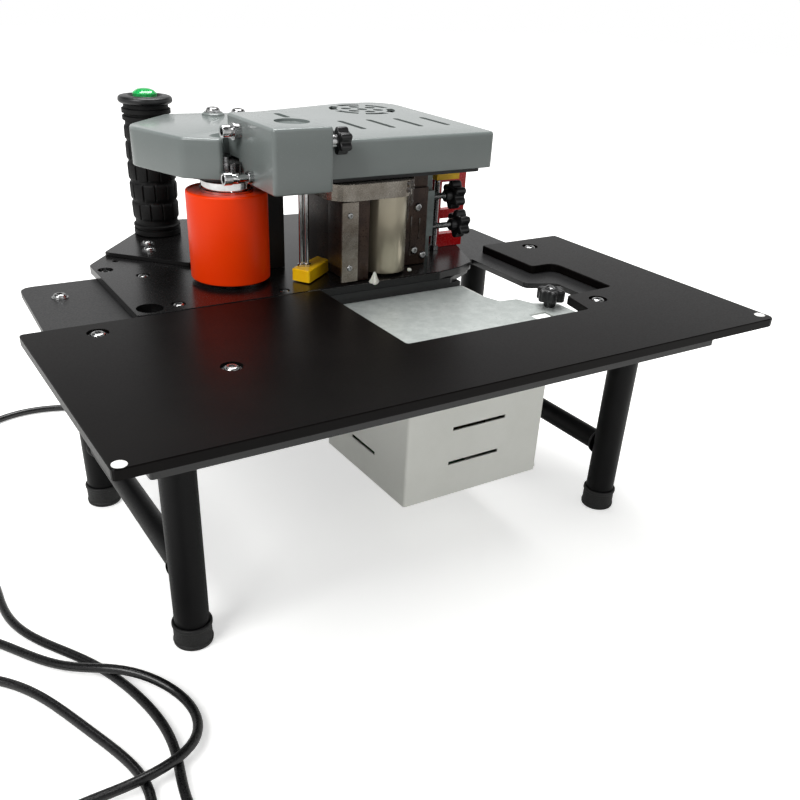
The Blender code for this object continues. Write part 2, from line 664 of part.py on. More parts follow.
def glue_unit():
    steel = finish("glue_roller_steel", (0.35, 0.33, 0.29), 0.25, 1.0)
    brown = finish("glue_stained_steel", (0.10, 0.075, 0.055), 0.45, 0.7)
    x, y = GLUE
    shaft_top = over(GEAR_LOW + GEAR_WIDTH + 0.002)
    roller = turned([(0, over(GAP)), (GLUE_SHAFT, over(GAP)), (GLUE_SHAFT, over(GLUE_LOW)),
                     (GLUE_RADIUS, over(GLUE_LOW)), (GLUE_RADIUS, over(GLUE_TOP)),
                     (GLUE_SHAFT, over(GLUE_TOP)), (GLUE_SHAFT, shaft_top), (0, shaft_top)], 32)
    carried("glue_roller", roller, steel, (x, y, 0))
    edge = [(POT_LEFT, 0.2175, 0.002), (0.006, POT_FRONT, 0.001), (0.030, POT_FRONT, 0.001),
            (0.055, POT_STEP, 0.001), (POT_RIGHT, POT_STEP, 0.002), (POT_RIGHT, POT_BACK, 0.003),
            (POT_LEFT, POT_BACK, 0.003)]
    pot = carried("glue_pot", prism(rounded(edge), over(POT_LOW), over(POT_TOP)), brown)
    cut(pot, rod(GLUE_RADIUS + 0.0006, over(-0.01), over(0.1), 40), (x, y, 0))
    cut(pot, prism([(0.0215, 0.19), (0.09, 0.19), (0.09, 0.2335), (0.0215, 0.2335)],
                   over(-0.01), over(0.1)))
    cut(pot, block(POT_LEFT + POT_WALL, 0.262, over(POT_BED),
                   0.062, POT_BACK - POT_WALL, over(0.1)))
    front = rounded([(-0.020, 0.2085, 0.018), (0.060, 0.2085, 0.020), (0.060, 0.300, 0.010),
                     (-0.020, 0.300, 0.010)], 6)
    lid = carried("pot_lid", prism(front, over(LID_LOW), over(LID_TOP), 0.0005), steel)
    cut(lid, rod(GLUE_SHAFT + RUN, over(0.05), over(0.09)), (x, y, 0))


def gear_axes():
    """Axes of the three idlers, found from the pitch radii of the gears they mesh with."""
    main = meeting_point(MOTOR, pitch_radius(PINION_TEETH + MAIN_TEETH),
                         GLUE, pitch_radius(GLUE_TEETH + MAIN_TEETH), 1)
    reach = pitch_radius(ROLLER_TEETH + ROLLER_IDLER_TEETH)
    idler = (PRESS[0] + reach * math.cos(ROLLER_IDLER_TURN),
             PRESS[1] + reach * math.sin(ROLLER_IDLER_TURN))
    transfer = meeting_point(idler, pitch_radius(ROLLER_IDLER_TEETH + TRANSFER_TEETH),
                             main, pitch_radius(MAIN_TEETH + TRANSFER_TEETH), 1)
    return main, transfer, idler


def mesh_turn(driver, driver_turn, driver_teeth, centre, teeth):
    """The turn that puts a gap of this gear over a tooth of its driver."""
    toward = math.atan2(centre[1] - driver[1], centre[0] - driver[0])
    return toward + math.pi + math.pi / teeth - (driver_turn - toward) * driver_teeth / teeth


def gear(name, teeth, centre, bore, turn, material, hub=0.0):
    low = over(GEAR_LOW)
    wheel = carried(name, prism(gear_outline(teeth, turn), low, low + GEAR_WIDTH), material,
                    (*centre, 0))
    if hub:
        add(wheel, rod(hub, low - 0.0015, low + 0.004, 24), (*centre, 0))
    cut(wheel, rod(bore, low - 0.01, low + 0.03, 24), (*centre, 0))
    middle = (bore + pitch_radius(teeth)) / 2
    hole = (pitch_radius(teeth) - bore) * 0.30
    if hole > 0.005:
        for i in range(5):
            angle = math.tau * i / 5
            cut(wheel, rod(hole, low - 0.01, low + 0.03, 10),
                (centre[0] + middle * math.cos(angle), centre[1] + middle * math.sin(angle), 0))


def gear_train():
    steel = finish("gear_steel", (0.35, 0.35, 0.36), 0.35, 1.0)
    nylon = finish("fan_nylon", (0.03, 0.03, 0.03), 0.5, 0.0)
    main, transfer, idler = gear_axes()
    main_turn = 0.0
    gear("main_idler_gear", MAIN_TEETH, main, STUD_RADIUS + RUN, main_turn, steel)
    pinion_turn = mesh_turn(main, main_turn, MAIN_TEETH, MOTOR, PINION_TEETH)
    low = over(GEAR_LOW)
    shaft_top = over(COVER_TOP - COVER_WALL - 0.0035)
    pinion = carried("motor_pinion", prism(gear_outline(PINION_TEETH, pinion_turn), low,
                                           low + GEAR_WIDTH), steel, (*MOTOR, 0))
    add(pinion, rod(MOTOR_SHAFT, over(0.066), shaft_top), (*MOTOR, 0))
    gear("glue_gear", GLUE_TEETH, GLUE, GLUE_SHAFT + GAP,
         mesh_turn(main, main_turn, MAIN_TEETH, GLUE, GLUE_TEETH), steel)
    transfer_turn = mesh_turn(main, main_turn, MAIN_TEETH, transfer, TRANSFER_TEETH)
    gear("transfer_gear", TRANSFER_TEETH, transfer, STUD_RADIUS + RUN, transfer_turn, steel)
    idler_turn = mesh_turn(transfer, transfer_turn, TRANSFER_TEETH, idler, ROLLER_IDLER_TEETH)
    gear("roller_idler_gear", ROLLER_IDLER_TEETH, idler, STUD_RADIUS + RUN, idler_turn, steel)
    gear("roller_gear", ROLLER_TEETH, PRESS, PRESS_SHAFT + GAP,
         mesh_turn(idler, idler_turn, ROLLER_IDLER_TEETH, PRESS, ROLLER_TEETH), steel)

    low = low + GEAR_WIDTH + GAP
    fan = carried("cooling_fan", tube(MOTOR_SHAFT + GAP, 0.008, low, shaft_top), nylon, (*MOTOR, 0))
    for i in range(7):
        angle = math.tau * i / 7
        blade = block(0.0065, -0.0008, low + 0.001, FAN_RADIUS, 0.0008, shaft_top - 0.001)
        add(fan, blade, (*MOTOR, 0), (0, 0, angle))


def bridge():
    """The plate over the head, its three idler studs, and what it stands on."""
    black = finish("black_bridge_plate", (0.02, 0.02, 0.02), 0.45, 0.5)
    steel = finish("motor_steel", (0.20, 0.20, 0.21), 0.4, 0.8)
    main, transfer, idler = gear_axes()
    edge = [(-0.098, 0.2465, 0.008), (-0.073, 0.2465, 0.008), (-0.070, 0.2725, 0.001),
            (-0.0215, 0.2725, 0.001), (-0.0215, 0.216, 0.002), (0.123, 0.216, 0.004),
            (0.126, 0.376, 0.018), (0.082, 0.380, 0.01), (-0.020, 0.346, 0.01),
            (-0.092, 0.350, 0.012), (-0.130, 0.312, 0.018), (-0.112, 0.268, 0.01)]
    low, high = over(BRIDGE_LOW), over(BRIDGE_TOP)
    plate = carried("bridge_plate", prism(rounded(edge), low, high), black)
    for centre, radius in ((PRESS, PRESS_SHAFT), (GLUE, GLUE_SHAFT), (MOTOR, MOTOR_SHAFT)):
        cut(plate, rod(radius + RUN, low - 0.01, high + 0.01), (*centre, 0))
    stud = [(0, low + 0.001), (0.008, low + 0.001), (0.008, over(GEAR_LOW - GAP)),
            (STUD_RADIUS, over(GEAR_LOW - GAP)), (STUD_RADIUS, over(GEAR_LOW + GEAR_WIDTH + 0.001)),
            (0, over(GEAR_LOW + GEAR_WIDTH + 0.001))]
    for centre in (main, transfer, idler):
        add(plate, turned(stud, 24), (*centre, 0))

    foot = over(GAP)
    head = low - GAP
    carried("support_column", block(-0.050, 0.2725, foot, -0.032, 0.290, head), black)
    carried("support_post", rod(0.007, foot, head), steel, (-0.062, 0.310, 0))
    motor = turned([(0, foot), (MOTOR_RADIUS + 0.002, foot), (MOTOR_RADIUS + 0.002, foot + 0.004),
                    (MOTOR_RADIUS, foot + 0.005), (MOTOR_RADIUS, head - 0.004),
                    (MOTOR_RADIUS - 0.004, head), (MOTOR_SHAFT + RUN, head),
                    (MOTOR_SHAFT + RUN, over(0.062)), (0, over(0.062))], 28)
    carried("motor", motor, steel, (*MOTOR, 0))


def covers():
    grey = finish("grey_hammered_paint", (0.30, 0.32, 0.31), 0.4, 0.0)
    low, top = over(COVER_LOW), over(COVER_TOP)
    seam = MAIN_LEFT - SEAM
    edge = [(MAIN_LEFT, MAIN_FRONT, 0.003), (0.1305, MAIN_FRONT, 0.006),
            (0.1355, 0.3895, 0.026), (0.084, 0.3890, 0.020), (MAIN_LEFT, 0.3525, 0.003)]
    main = carried("main_gear_cover", cup(edge, COVER_WALL, COVER_WALL, low, top, False), grey)
    cut(main, block(MAIN_LEFT - 0.01, 0.2725, low - 0.01, MAIN_LEFT + 0.005, 0.347,
                    top - COVER_WALL - 0.001))
    for x in VENT_XS:
        cut(main, block(x - VENT_WIDTH / 2, VENT_FRONT, top - 0.006,
                        x + VENT_WIDTH / 2, VENT_BACK, top + 0.004))
    grille_cuts(main, top)

    low, top = over(LOBE_LOW), over(COVER_TOP)
    edge = [(seam, 0.2715, 0.001), (seam, 0.3530, 0.002), (-0.060, 0.3590, 0.02),
            (-0.094, 0.3610, 0.012), (-0.1425, 0.314, 0.020), (-0.122, 0.252, 0.012),
            (-0.097, 0.2355, 0.003), (HOUSING_LEFT - 0.003, 0.2700, 0.001)]
    lobe = carried("left_cover", cup(edge, COVER_WALL, COVER_WALL, low, top, False), grey)
    cut(lobe, block(-0.045, 0.276, low - 0.01, seam + 0.01, 0.347, top - COVER_WALL - 0.001))
    gear_room = over(GEAR_LOW + GEAR_WIDTH + 0.002)
    cut(lobe, block(-0.1005, 0.2405, low - 0.01, -0.060, 0.281, gear_room))
    add(lobe, rod(0.009, top - 0.001, top + 0.002), (-0.059, 0.345, 0))

    low, top = over(HOUSING_LOW), over(HOUSING_TOP)
    edge = box_corners(HOUSING_LEFT, HOUSING_FRONT, HOUSING_RIGHT, HOUSING_BACK, 0.002)
    house = carried("cutter_housing", cup(edge, HOUSING_WALL, HOUSING_WALL, low, top, False), grey)
    cut(house, block(HOUSING_LEFT - 0.01, 0.2365, low - 0.01, HOUSING_RIGHT - 0.008,
                     HOUSING_BACK + 0.01, gear_room))
    cut(house, rod(0.013, top - 0.0012, top + 0.004), (-0.050, 0.218, 0))
    cut(house, block(-0.0465, 0.236, top - 0.006, -0.0435, 0.253, top + 0.004))
    cut(house, rod(0.0032, -0.006, 0.006), (HOUSING_LEFT, 0.2455, over(0.113)), ALONG_X)
    cut(house, rod(0.0042, -0.006, 0.006), (HOUSING_RIGHT, HOUSING_KNOB[0],
                                            over(HOUSING_KNOB[1])), ALONG_X)
    cut(house, rod(0.0026, -0.006, 0.006), (HOUSING_LEFT, LOWER_SCREW[0],
                                            over(LOWER_SCREW[1])), ALONG_X)


def grille_cuts(cover, top):
    """Fan grille: a ring of arc slots round a ring of round holes."""
    for i in range(6):
        start = math.tau * i / 6 + 0.12
        end = start + math.tau / 6 - 0.24
        ring = arc(GRILLE, GRILLE_RADIUS - 0.001, start, end, 6)
        ring += arc(GRILLE, GRILLE_RADIUS - 0.008, end, start, 6)
        cut(cover, prism(ring, top - 0.006, top + 0.004))
    for i in range(6):
        angle = math.tau * (i + 0.5) / 6
        cut(cover, rod(0.0048, top - 0.006, top + 0.004, 12),
            (GRILLE[0] + 0.0145 * math.cos(angle), GRILLE[1] + 0.0145 * math.sin(angle), 0))
    cut(cover, rod(0.0048, top - 0.006, top + 0.004, 12), (*GRILLE, 0))


def adjusters():
    black = finish("black_knob_abs", (0.02, 0.02, 0.02), 0.35, 0.0)
    steel = finish("bright_steel", (0.55, 0.55, 0.56), 0.25, 1.0)
    grey = finish("adjuster_plate_grey", (0.28, 0.29, 0.29), 0.4, 0.3)
    head = over(BRIDGE_LOW - GAP)
    bracket = carried("adjuster_bracket", block(0.0865, 0.252, over(GAP), 0.100, 0.257, head), grey)
    add(bracket, block(0.0865, 0.238, over(0.022), 0.0935, 0.2525, over(0.060)))
    for height in (UPPER_STUD, LOWER_STUD):
        cut(bracket, rod(STUD_HOLE + RUN, -0.02, 0.02, 20), (0.090, STUD_Y, over(height)), ALONG_X)
    for name, x, height in (("upper_star_knob", 0.1140, UPPER_STUD),
                            ("lower_star_knob", 0.1215, LOWER_STUD)):
        hand_knob(name, black, 0.012, 0.011, x - 0.0875, STUD_HOLE, (x, STUD_Y, over(height)),
                  ALONG_X)
    hand_knob("housing_star_knob", black, 0.0095, 0.010, 0.020, 0.0038,
              (-0.0245, HOUSING_KNOB[0], over(HOUSING_KNOB[1])), ALONG_X)
    hand_knob("tray_knob", black, 0.012, 0.010, 0.010, 0.0022,
              (*TRAY_KNOB, TRAY_TOP + 0.0055), FLAT, 0.005)
    tip = HOUSING_LEFT + HOUSING_WALL + 0.004
    for name, (y, height), shank, proud in (("upper_hex_screw", UPPER_SCREW, 0.003, 0.0125),
                                            ("lower_hex_screw", LOWER_SCREW, 0.0024, 0.0185)):
        face = HOUSING_LEFT - proud
        length = tip - face
        profile = [(0, 0.004), (0.0022, 0.004), (0.0022, 0), (0.0045, 0), (0.0045, 0.006),
                   (shank, 0.006), (shank, length), (0, length)]
        carried(name, turned(profile), steel, (face, y, over(height)), ALONG_X)


def cutter():
    steel = finish("ground_steel_rod", (0.6, 0.6, 0.6), 0.15, 1.0)
    yellow = finish("yellow_plastic", (0.85, 0.55, 0.01), 0.4, 0.0)
    red = finish("red_enamel", (0.30, 0.005, 0.008), 0.3, 0.2)
    low, high = over(0.001), over(0.0105)
    edge = [(-0.0435, 0.2360, 0.0015), (-0.0350, 0.2220, 0.0015), (-0.0048, 0.2455, 0.001),
            (-0.0080, 0.2590, 0.001)]
    shoe = carried("cutter_block", prism(rounded(edge, 3), low, high, 0.0005), yellow,
                   (*CUTTER_PIVOT, 0))
    shoe.data.transform(Matrix.Translation((-CUTTER_PIVOT[0], -CUTTER_PIVOT[1], 0)))
    for name, place, radius, top in (("cutter_rod", CUTTER_ROD, 0.0020, COVER_LOW - GAP),
                                     ("cutter_pivot", CUTTER_PIVOT, 0.0018, HOUSING_LOW - GAP)):
        cut(shoe, rod(radius + GAP, high - 0.005, high + 0.01), (*place, 0))
        carried(name, rod(radius, high - 0.0047, over(top)), steel, (*place, 0))

    base = over(GAP)
    guide = carried("tape_guide", block(0.119, 0.272, base, 0.151, 0.279, over(0.0780)), red)
    for bottom, upper in ((0.012, 0.026), (0.034, 0.058)):
        cut(guide, block(0.125, 0.26, over(bottom), 0.145, 0.29, over(upper)))
    carried("tape_rail", block(0.113, 0.2635, over(0.062), 0.137, 0.2715, over(0.069)), yellow)


def smooth_route(points, spacing):
    """Points at a spacing along a smooth curve through the given points."""
    path = [Vector(p) for p in points]
    path = [2 * path[0] - path[1]] + path + [2 * path[-1] - path[-2]]
    fine = []
    for a, b, c, d in zip(path, path[1:], path[2:], path[3:]):
        knots = [0.0]
        for p, q in ((a, b), (b, c), (c, d)):
            knots.append(knots[-1] + math.sqrt((q - p).length))
        steps = 12
        for i in range(steps):
            t = knots[1] + (knots[2] - knots[1]) * i / steps
            ab = a.lerp(b, (t - knots[0]) / (knots[1] - knots[0]))
            bc = b.lerp(c, (t - knots[1]) / (knots[2] - knots[1]))
            cd = c.lerp(d, (t - knots[2]) / (knots[3] - knots[2]))
            abc = ab.lerp(bc, (t - knots[0]) / (knots[2] - knots[0]))
            bcd = bc.lerp(cd, (t - knots[1]) / (knots[3] - knots[1]))
            fine.append(abc.lerp(bcd, (t - knots[1]) / (knots[2] - knots[1])))
    fine.append(path[-2])
    lengths = [0.0]
    for p, q in zip(fine, fine[1:]):
        lengths.append(lengths[-1] + (q - p).length)
    count = round(lengths[-1] / spacing)
    route = []
    at = 0
    for i in range(count + 1):
        want = lengths[-1] * i / count
        while at < len(fine) - 2 and lengths[at + 1] < want:
            at += 1
        share = (want - lengths[at]) / (lengths[at + 1] - lengths[at])
        point = fine[at].lerp(fine[at + 1], min(1.0, share))
        point.z = max(point.z, LIE)
        route.append(point)
    return route


def cord():
    sheath = finish("black_pvc_sheath", (0.015, 0.015, 0.015), 0.45, 0.0)
    curve = bpy.data.curves.new("cord_tube", "CURVE")
    curve.dimensions = "3D"
    curve.bevel_depth = CORD_RADIUS
    curve.bevel_resolution = 2
    curve.use_fill_caps = True
    points = smooth_route(CORD_ROUTE, CORD_RADIUS * 7.2)
    spline = curve.splines.new("POLY")
    spline.points.add(len(points) - 1)
    for target, point in zip(spline.points, points):
        target.co = (*point, 1.0)
    curve.materials.append(sheath)
    lead = bpy.data.objects.new("cord_tube", curve)
    bpy.context.scene.collection.objects.link(lead)
    lead.parent = bpy.data.objects["machine"]

    inner, outer = COIL_MIDDLE - COIL_HALF_WIDTH, COIL_MIDDLE + COIL_HALF_WIDTH
    ring = turned([(inner, 0.003), (inner + 0.003, 0.0002), (outer - 0.003, 0.0002), (outer, 0.003),
                   (outer, COIL_HEIGHT - 0.003), (outer - 0.003, COIL_HEIGHT),
                   (inner + 0.003, COIL_HEIGHT), (inner, COIL_HEIGHT - 0.003)], 24)
    carried("cord_coil", ring, sheath, (*COIL, 0))
    rest = COIL_HEIGHT + GAP
    x, y = (middle + away for middle, away in zip(COIL, PLUG_FROM_COIL))
    axis = rest + PLUG_HEIGHT / 2
    half_long, half_wide = PLUG_HALF
    edge = box_outline(-half_long, -half_wide, half_long, half_wide, 0.006)
    plug = carried("plug", prism(edge, 0, PLUG_HEIGHT, 0.002), sheath, (x, y, rest))
    add(plug, rod(PLUG_RELIEF, half_long - 0.001, PLUG_REACH), (x, y, axis), ALONG_X)
    for side in (-PIN_SPREAD, PIN_SPREAD):
        add(plug, rod(PIN_RADIUS, 0, PLUG_REACH), (x, y + side, axis), AGAINST_X)


def machine():
    clear_scene()
    frame = bpy.data.objects.new("machine", None)
    bpy.context.scene.collection.objects.link(frame)
    frame.location = (0.0, -OVERALL_DEPTH / 2, 0.0)
    table()
    base_plate()
    legs()
    tray()
    control_box()
    controls()
    handle()
    press_roller()
    glue_unit()
    gear_train()
    bridge()
    covers()
    adjusters()
    cutter()
    cord()


machine()
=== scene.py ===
"""Looks of the bench-top edge banding machine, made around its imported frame.

Metres, +Z up, the floor at z = 0. Plan sizes are given from the table's front edge and from its
middle, as the machine is set out, and PLAN moves them into the frame."""

import math

import bmesh
import bpy
from mathutils import Matrix, Vector


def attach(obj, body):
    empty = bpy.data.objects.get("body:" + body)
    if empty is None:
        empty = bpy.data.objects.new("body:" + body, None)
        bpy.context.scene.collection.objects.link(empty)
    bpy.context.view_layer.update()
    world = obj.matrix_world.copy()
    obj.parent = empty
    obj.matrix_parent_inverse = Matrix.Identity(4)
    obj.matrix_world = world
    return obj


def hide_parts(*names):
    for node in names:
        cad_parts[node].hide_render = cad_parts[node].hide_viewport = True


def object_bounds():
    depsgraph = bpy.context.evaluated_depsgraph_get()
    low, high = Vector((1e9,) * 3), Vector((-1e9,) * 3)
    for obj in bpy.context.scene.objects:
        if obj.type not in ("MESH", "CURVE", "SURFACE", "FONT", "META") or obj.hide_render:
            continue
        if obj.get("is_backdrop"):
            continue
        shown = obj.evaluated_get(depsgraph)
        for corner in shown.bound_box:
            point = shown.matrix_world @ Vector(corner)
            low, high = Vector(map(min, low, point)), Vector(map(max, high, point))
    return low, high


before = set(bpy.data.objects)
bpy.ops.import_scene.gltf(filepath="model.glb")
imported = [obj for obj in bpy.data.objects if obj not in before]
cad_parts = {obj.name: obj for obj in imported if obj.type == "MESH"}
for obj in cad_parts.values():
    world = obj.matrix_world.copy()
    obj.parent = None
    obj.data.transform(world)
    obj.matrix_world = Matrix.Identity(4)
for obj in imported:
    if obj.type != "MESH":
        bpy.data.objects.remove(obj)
cad_box = [list(corner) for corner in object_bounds()]
scene = bpy.context.scene
PLAN = Vector((0.0, -0.2235, 0.0))

# ------------------------------------------------------------
# Camera: a 39 mm lens held a little to the left of the machine, looking down over the table's
# near left corner, with a slight lean.
CAMERA_PLACE = Vector((-0.3472, -0.6086, 0.4203))
CAMERA_AZIMUTH, CAMERA_DIP, CAMERA_LEAN = map(math.radians, (34.1257, 31.5514, 3.1542))
forward = Vector((math.sin(CAMERA_AZIMUTH) * math.cos(CAMERA_DIP),
                  math.cos(CAMERA_AZIMUTH) * math.cos(CAMERA_DIP), -math.sin(CAMERA_DIP)))
level = Vector((math.cos(CAMERA_AZIMUTH), -math.sin(CAMERA_AZIMUTH), 0.0))
upright = level.cross(forward)
across = math.cos(CAMERA_LEAN) * level + math.sin(CAMERA_LEAN) * upright
aloft = -math.sin(CAMERA_LEAN) * level + math.cos(CAMERA_LEAN) * upright
lens = bpy.data.cameras.new("camera")
lens.lens = 38.79
lens.sensor_width = 36.0
lens.shift_y = 0.125
lens.clip_start = 0.01
camera = bpy.data.objects.new("camera", lens)
scene.collection.objects.link(camera)
camera.matrix_world = Matrix((
    (across.x, aloft.x, -forward.x, CAMERA_PLACE.x),
    (across.y, aloft.y, -forward.y, CAMERA_PLACE.y),
    (across.z, aloft.z, -forward.z, CAMERA_PLACE.z), (0.0, 0.0, 0.0, 1.0)))
scene.camera = camera
scene.view_settings.view_transform = "Standard"


# ------------------------------------------------------------
# Studio: a pale floor that keeps the shadow, a white surround and three soft lamps.
def linear(code):
    """An sRGB hex colour as the linear colour that a shader takes."""
    channels = [int(code[i:i + 2], 16) / 255 for i in (1, 3, 5)]
    return (*(c / 12.92 if c <= 0.04045 else ((c + 0.055) / 1.055) ** 2.4 for c in channels), 1.0)


def add_node(tree, kind, settings=(), inputs=()):
    """Adds a node; each input is given a value, or the output that feeds it."""
    node = tree.nodes.new(kind)
    for key, value in dict(settings).items():
        setattr(node, key, value)
    for key, value in dict(inputs).items():
        if isinstance(value, bpy.types.NodeSocket):
            tree.links.new(value, node.inputs[key])
        else:
            node.inputs[key].default_value = value
    return node


FLOOR_REACH = 6.0
FLOOR_LIFT = 0.50              # glow that brings the lit floor to white for the eye,
FAR_LIFT = 0.85                # and the unlit floor further off
NEAR, FAR = 0.5, 2.0           # where the one starts to become the other, and where it has
floor_mesh = bpy.data.meshes.new("floor")
floor_mesh.from_pydata([(-FLOOR_REACH, -FLOOR_REACH, 0), (FLOOR_REACH, -FLOOR_REACH, 0),
                        (FLOOR_REACH, FLOOR_REACH, 0), (-FLOOR_REACH, FLOOR_REACH, 0)],
                       [], [(0, 1, 2, 3)])
floor = bpy.data.objects.new("floor", floor_mesh)
floor.location.z = -0.0004
scene.collection.objects.link(floor)
floor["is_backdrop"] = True
paper = bpy.data.materials.new("studio_paper")
paper.use_nodes = True
tree = paper.node_tree
tree.nodes.clear()
matt = add_node(tree, "ShaderNodeBsdfDiffuse", inputs={"Color": linear("#F2F2F0")})
path = add_node(tree, "ShaderNodeLightPath")
spot = add_node(tree, "ShaderNodeNewGeometry").outputs["Position"]
away = add_node(tree, "ShaderNodeVectorMath", {"operation": "LENGTH"}, {0: spot})
raised = add_node(tree, "ShaderNodeMapRange", inputs={"Value": away.outputs["Value"],
                                                      1: NEAR, 2: FAR, 3: FLOOR_LIFT, 4: FAR_LIFT})
glow = add_node(tree, "ShaderNodeMath", {"operation": "MULTIPLY"},
                {0: path.outputs["Is Camera Ray"], 1: raised.outputs[0]})
lift = add_node(tree, "ShaderNodeEmission", inputs={"Color": linear("#FFFFFF"),
                                                    "Strength": glow.outputs[0]})
both = add_node(tree, "ShaderNodeAddShader", inputs={0: matt.outputs[0], 1: lift.outputs[0]})
add_node(tree, "ShaderNodeOutputMaterial", inputs={"Surface": both.outputs[0]})
floor_mesh.materials.append(paper)

world = bpy.data.worlds.new("studio")
scene.world = world
world.use_nodes = True
tree = world.node_tree
tree.nodes.clear()
path = add_node(tree, "ShaderNodeLightPath")
seen = add_node(tree, "ShaderNodeMath", {"operation": "MAXIMUM"},
                {0: path.outputs["Is Camera Ray"], 1: path.outputs["Is Transmission Ray"]})
# rays that make gloss see a room: pale at the horizon, greyer overhead
HORIZON_GLOSS, OVERHEAD_GLOSS, ROOM_LIGHT = 0.85, 0.04, 0.32
ray = add_node(tree, "ShaderNodeTexCoord")
split = add_node(tree, "ShaderNodeSeparateXYZ", inputs={0: ray.outputs["Generated"]})
height = add_node(tree, "ShaderNodeMapRange", inputs={"Value": split.outputs["Z"], 1: 0.2, 2: 0.6,
                                                      3: HORIZON_GLOSS, 4: OVERHEAD_GLOSS})
glossy = add_node(tree, "ShaderNodeMath", {"operation": "MULTIPLY"},
                  {0: path.outputs["Is Glossy Ray"], 1: height.outputs[0]})
diffuse = add_node(tree, "ShaderNodeMath", {"operation": "MULTIPLY"},
                   {0: path.outputs["Is Diffuse Ray"], 1: ROOM_LIGHT})
ambient = add_node(tree, "ShaderNodeMath", {"operation": "MAXIMUM"},
                   {0: glossy.outputs[0], 1: diffuse.outputs[0]})
power = add_node(tree, "ShaderNodeMath", {"operation": "MAXIMUM"},
                 {0: seen.outputs[0], 1: ambient.outputs[0]})
sky = add_node(tree, "ShaderNodeBackground", inputs={"Color": linear("#FFFFFF"),
                                                     "Strength": power.outputs[0]})
add_node(tree, "ShaderNodeOutputWorld", inputs={"Surface": sky.outputs[0]})

for name, place, aim, watts, size in (("key_lamp", (-1.5, -0.6, 1.6), (0, 0, 0.1), 27.0, 1.0),
                                      ("fill_lamp", (0.5, -1.6, 1.0), (0, 0, 0.15), 2.5, 1.3),
                                      ("top_lamp", (0.2, 0.5, 2.0), (0, 0, 0.2), 46.0, 1.3)):
    light = bpy.data.lights.new(name, "AREA")
    light.energy = watts
    light.size = size
    lamp = bpy.data.objects.new(name, light)
    scene.collection.objects.link(lamp)
    lamp.location = place
    lamp.rotation_euler = (Vector(aim) - Vector(place)).to_track_quat("-Z", "Y").to_euler()


# ------------------------------------------------------------
# Mains lead: 6.5 mm round three-core cable with a black PVC sheath. It leaves the strain relief
# at the back of the control box, lies on the floor in loose loops to the left of the machine,
# and its spare length is wound into three turns held by a hook-and-loop tie.
def finish_of(name, colour, roughness, metallic=0.0, patches=None, grain=None, relief=0.0,
              **sockets):
    """A Principled material. patches = (other colour, size in mm, share) for its uneven colour,
    grain = (size in mm, roughness added or taken) for its texture, relief = bump in mm."""
    material = bpy.data.materials.new(name)
    material.use_nodes = True
    nodes = material.node_tree
    shader = nodes.nodes["Principled BSDF"]
    shader.inputs["Base Color"].default_value = linear(colour)
    shader.inputs["Roughness"].default_value = roughness
    shader.inputs["Metallic"].default_value = metallic
    for key, value in sockets.items():
        shader.inputs[key.replace("_", " ")].default_value = value
    place = add_node(nodes, "ShaderNodeTexCoord").outputs["Object"]
    if patches:
        other, size, share = patches
        cloud = add_node(nodes, "ShaderNodeTexNoise", inputs={
            "Vector": place, "Scale": 1000 / size, "Detail": 4.0, "Roughness": 0.6})
        how_much = add_node(nodes, "ShaderNodeMapRange", inputs={
            "Value": cloud.outputs["Fac"], 1: 0.38, 2: 0.68, 3: 0.0, 4: share})
        mix = add_node(nodes, "ShaderNodeMix", {"data_type": "RGBA"}, {
            0: how_much.outputs[0], 6: linear(colour), 7: linear(other)})
        nodes.links.new(mix.outputs[2], shader.inputs["Base Color"])
    if grain:
        size, spread = grain
        fine = add_node(nodes, "ShaderNodeTexNoise", inputs={
            "Vector": place, "Scale": 1000 / size, "Detail": 3.0, "Roughness": 0.55})
        rough = add_node(nodes, "ShaderNodeMapRange", inputs={
            "Value": fine.outputs["Fac"], 1: 0.3, 2: 0.7,
            3: max(0.03, roughness - spread), 4: roughness + spread})
        nodes.links.new(rough.outputs[0], shader.inputs["Roughness"])
        if relief:
            bump = add_node(nodes, "ShaderNodeBump", inputs={
                "Height": fine.outputs["Fac"], "Distance": relief / 1000, "Strength": 0.6})
            nodes.links.new(bump.outputs[0], shader.inputs["Normal"])
    return material


def piece_of(name, mesh, material, body, slot, *nodes, smooth=40, place=(0, 0, 0)):
    """A mesh made into a named piece that rides on a body and stands for the given nodes."""
    mesh.transform(Matrix.Translation(Vector(place) + PLAN))
    data = bpy.data.meshes.new(name)
    mesh.to_mesh(data)
    mesh.free()
    data.materials.append(material)
    data.shade_smooth()
    data.set_sharp_from_angle(angle=math.radians(smooth))
    piece = bpy.data.objects.new(name, data)
    scene.collection.objects.link(piece)
    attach(piece, body)
    if nodes:
        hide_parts(*nodes)
    return piece


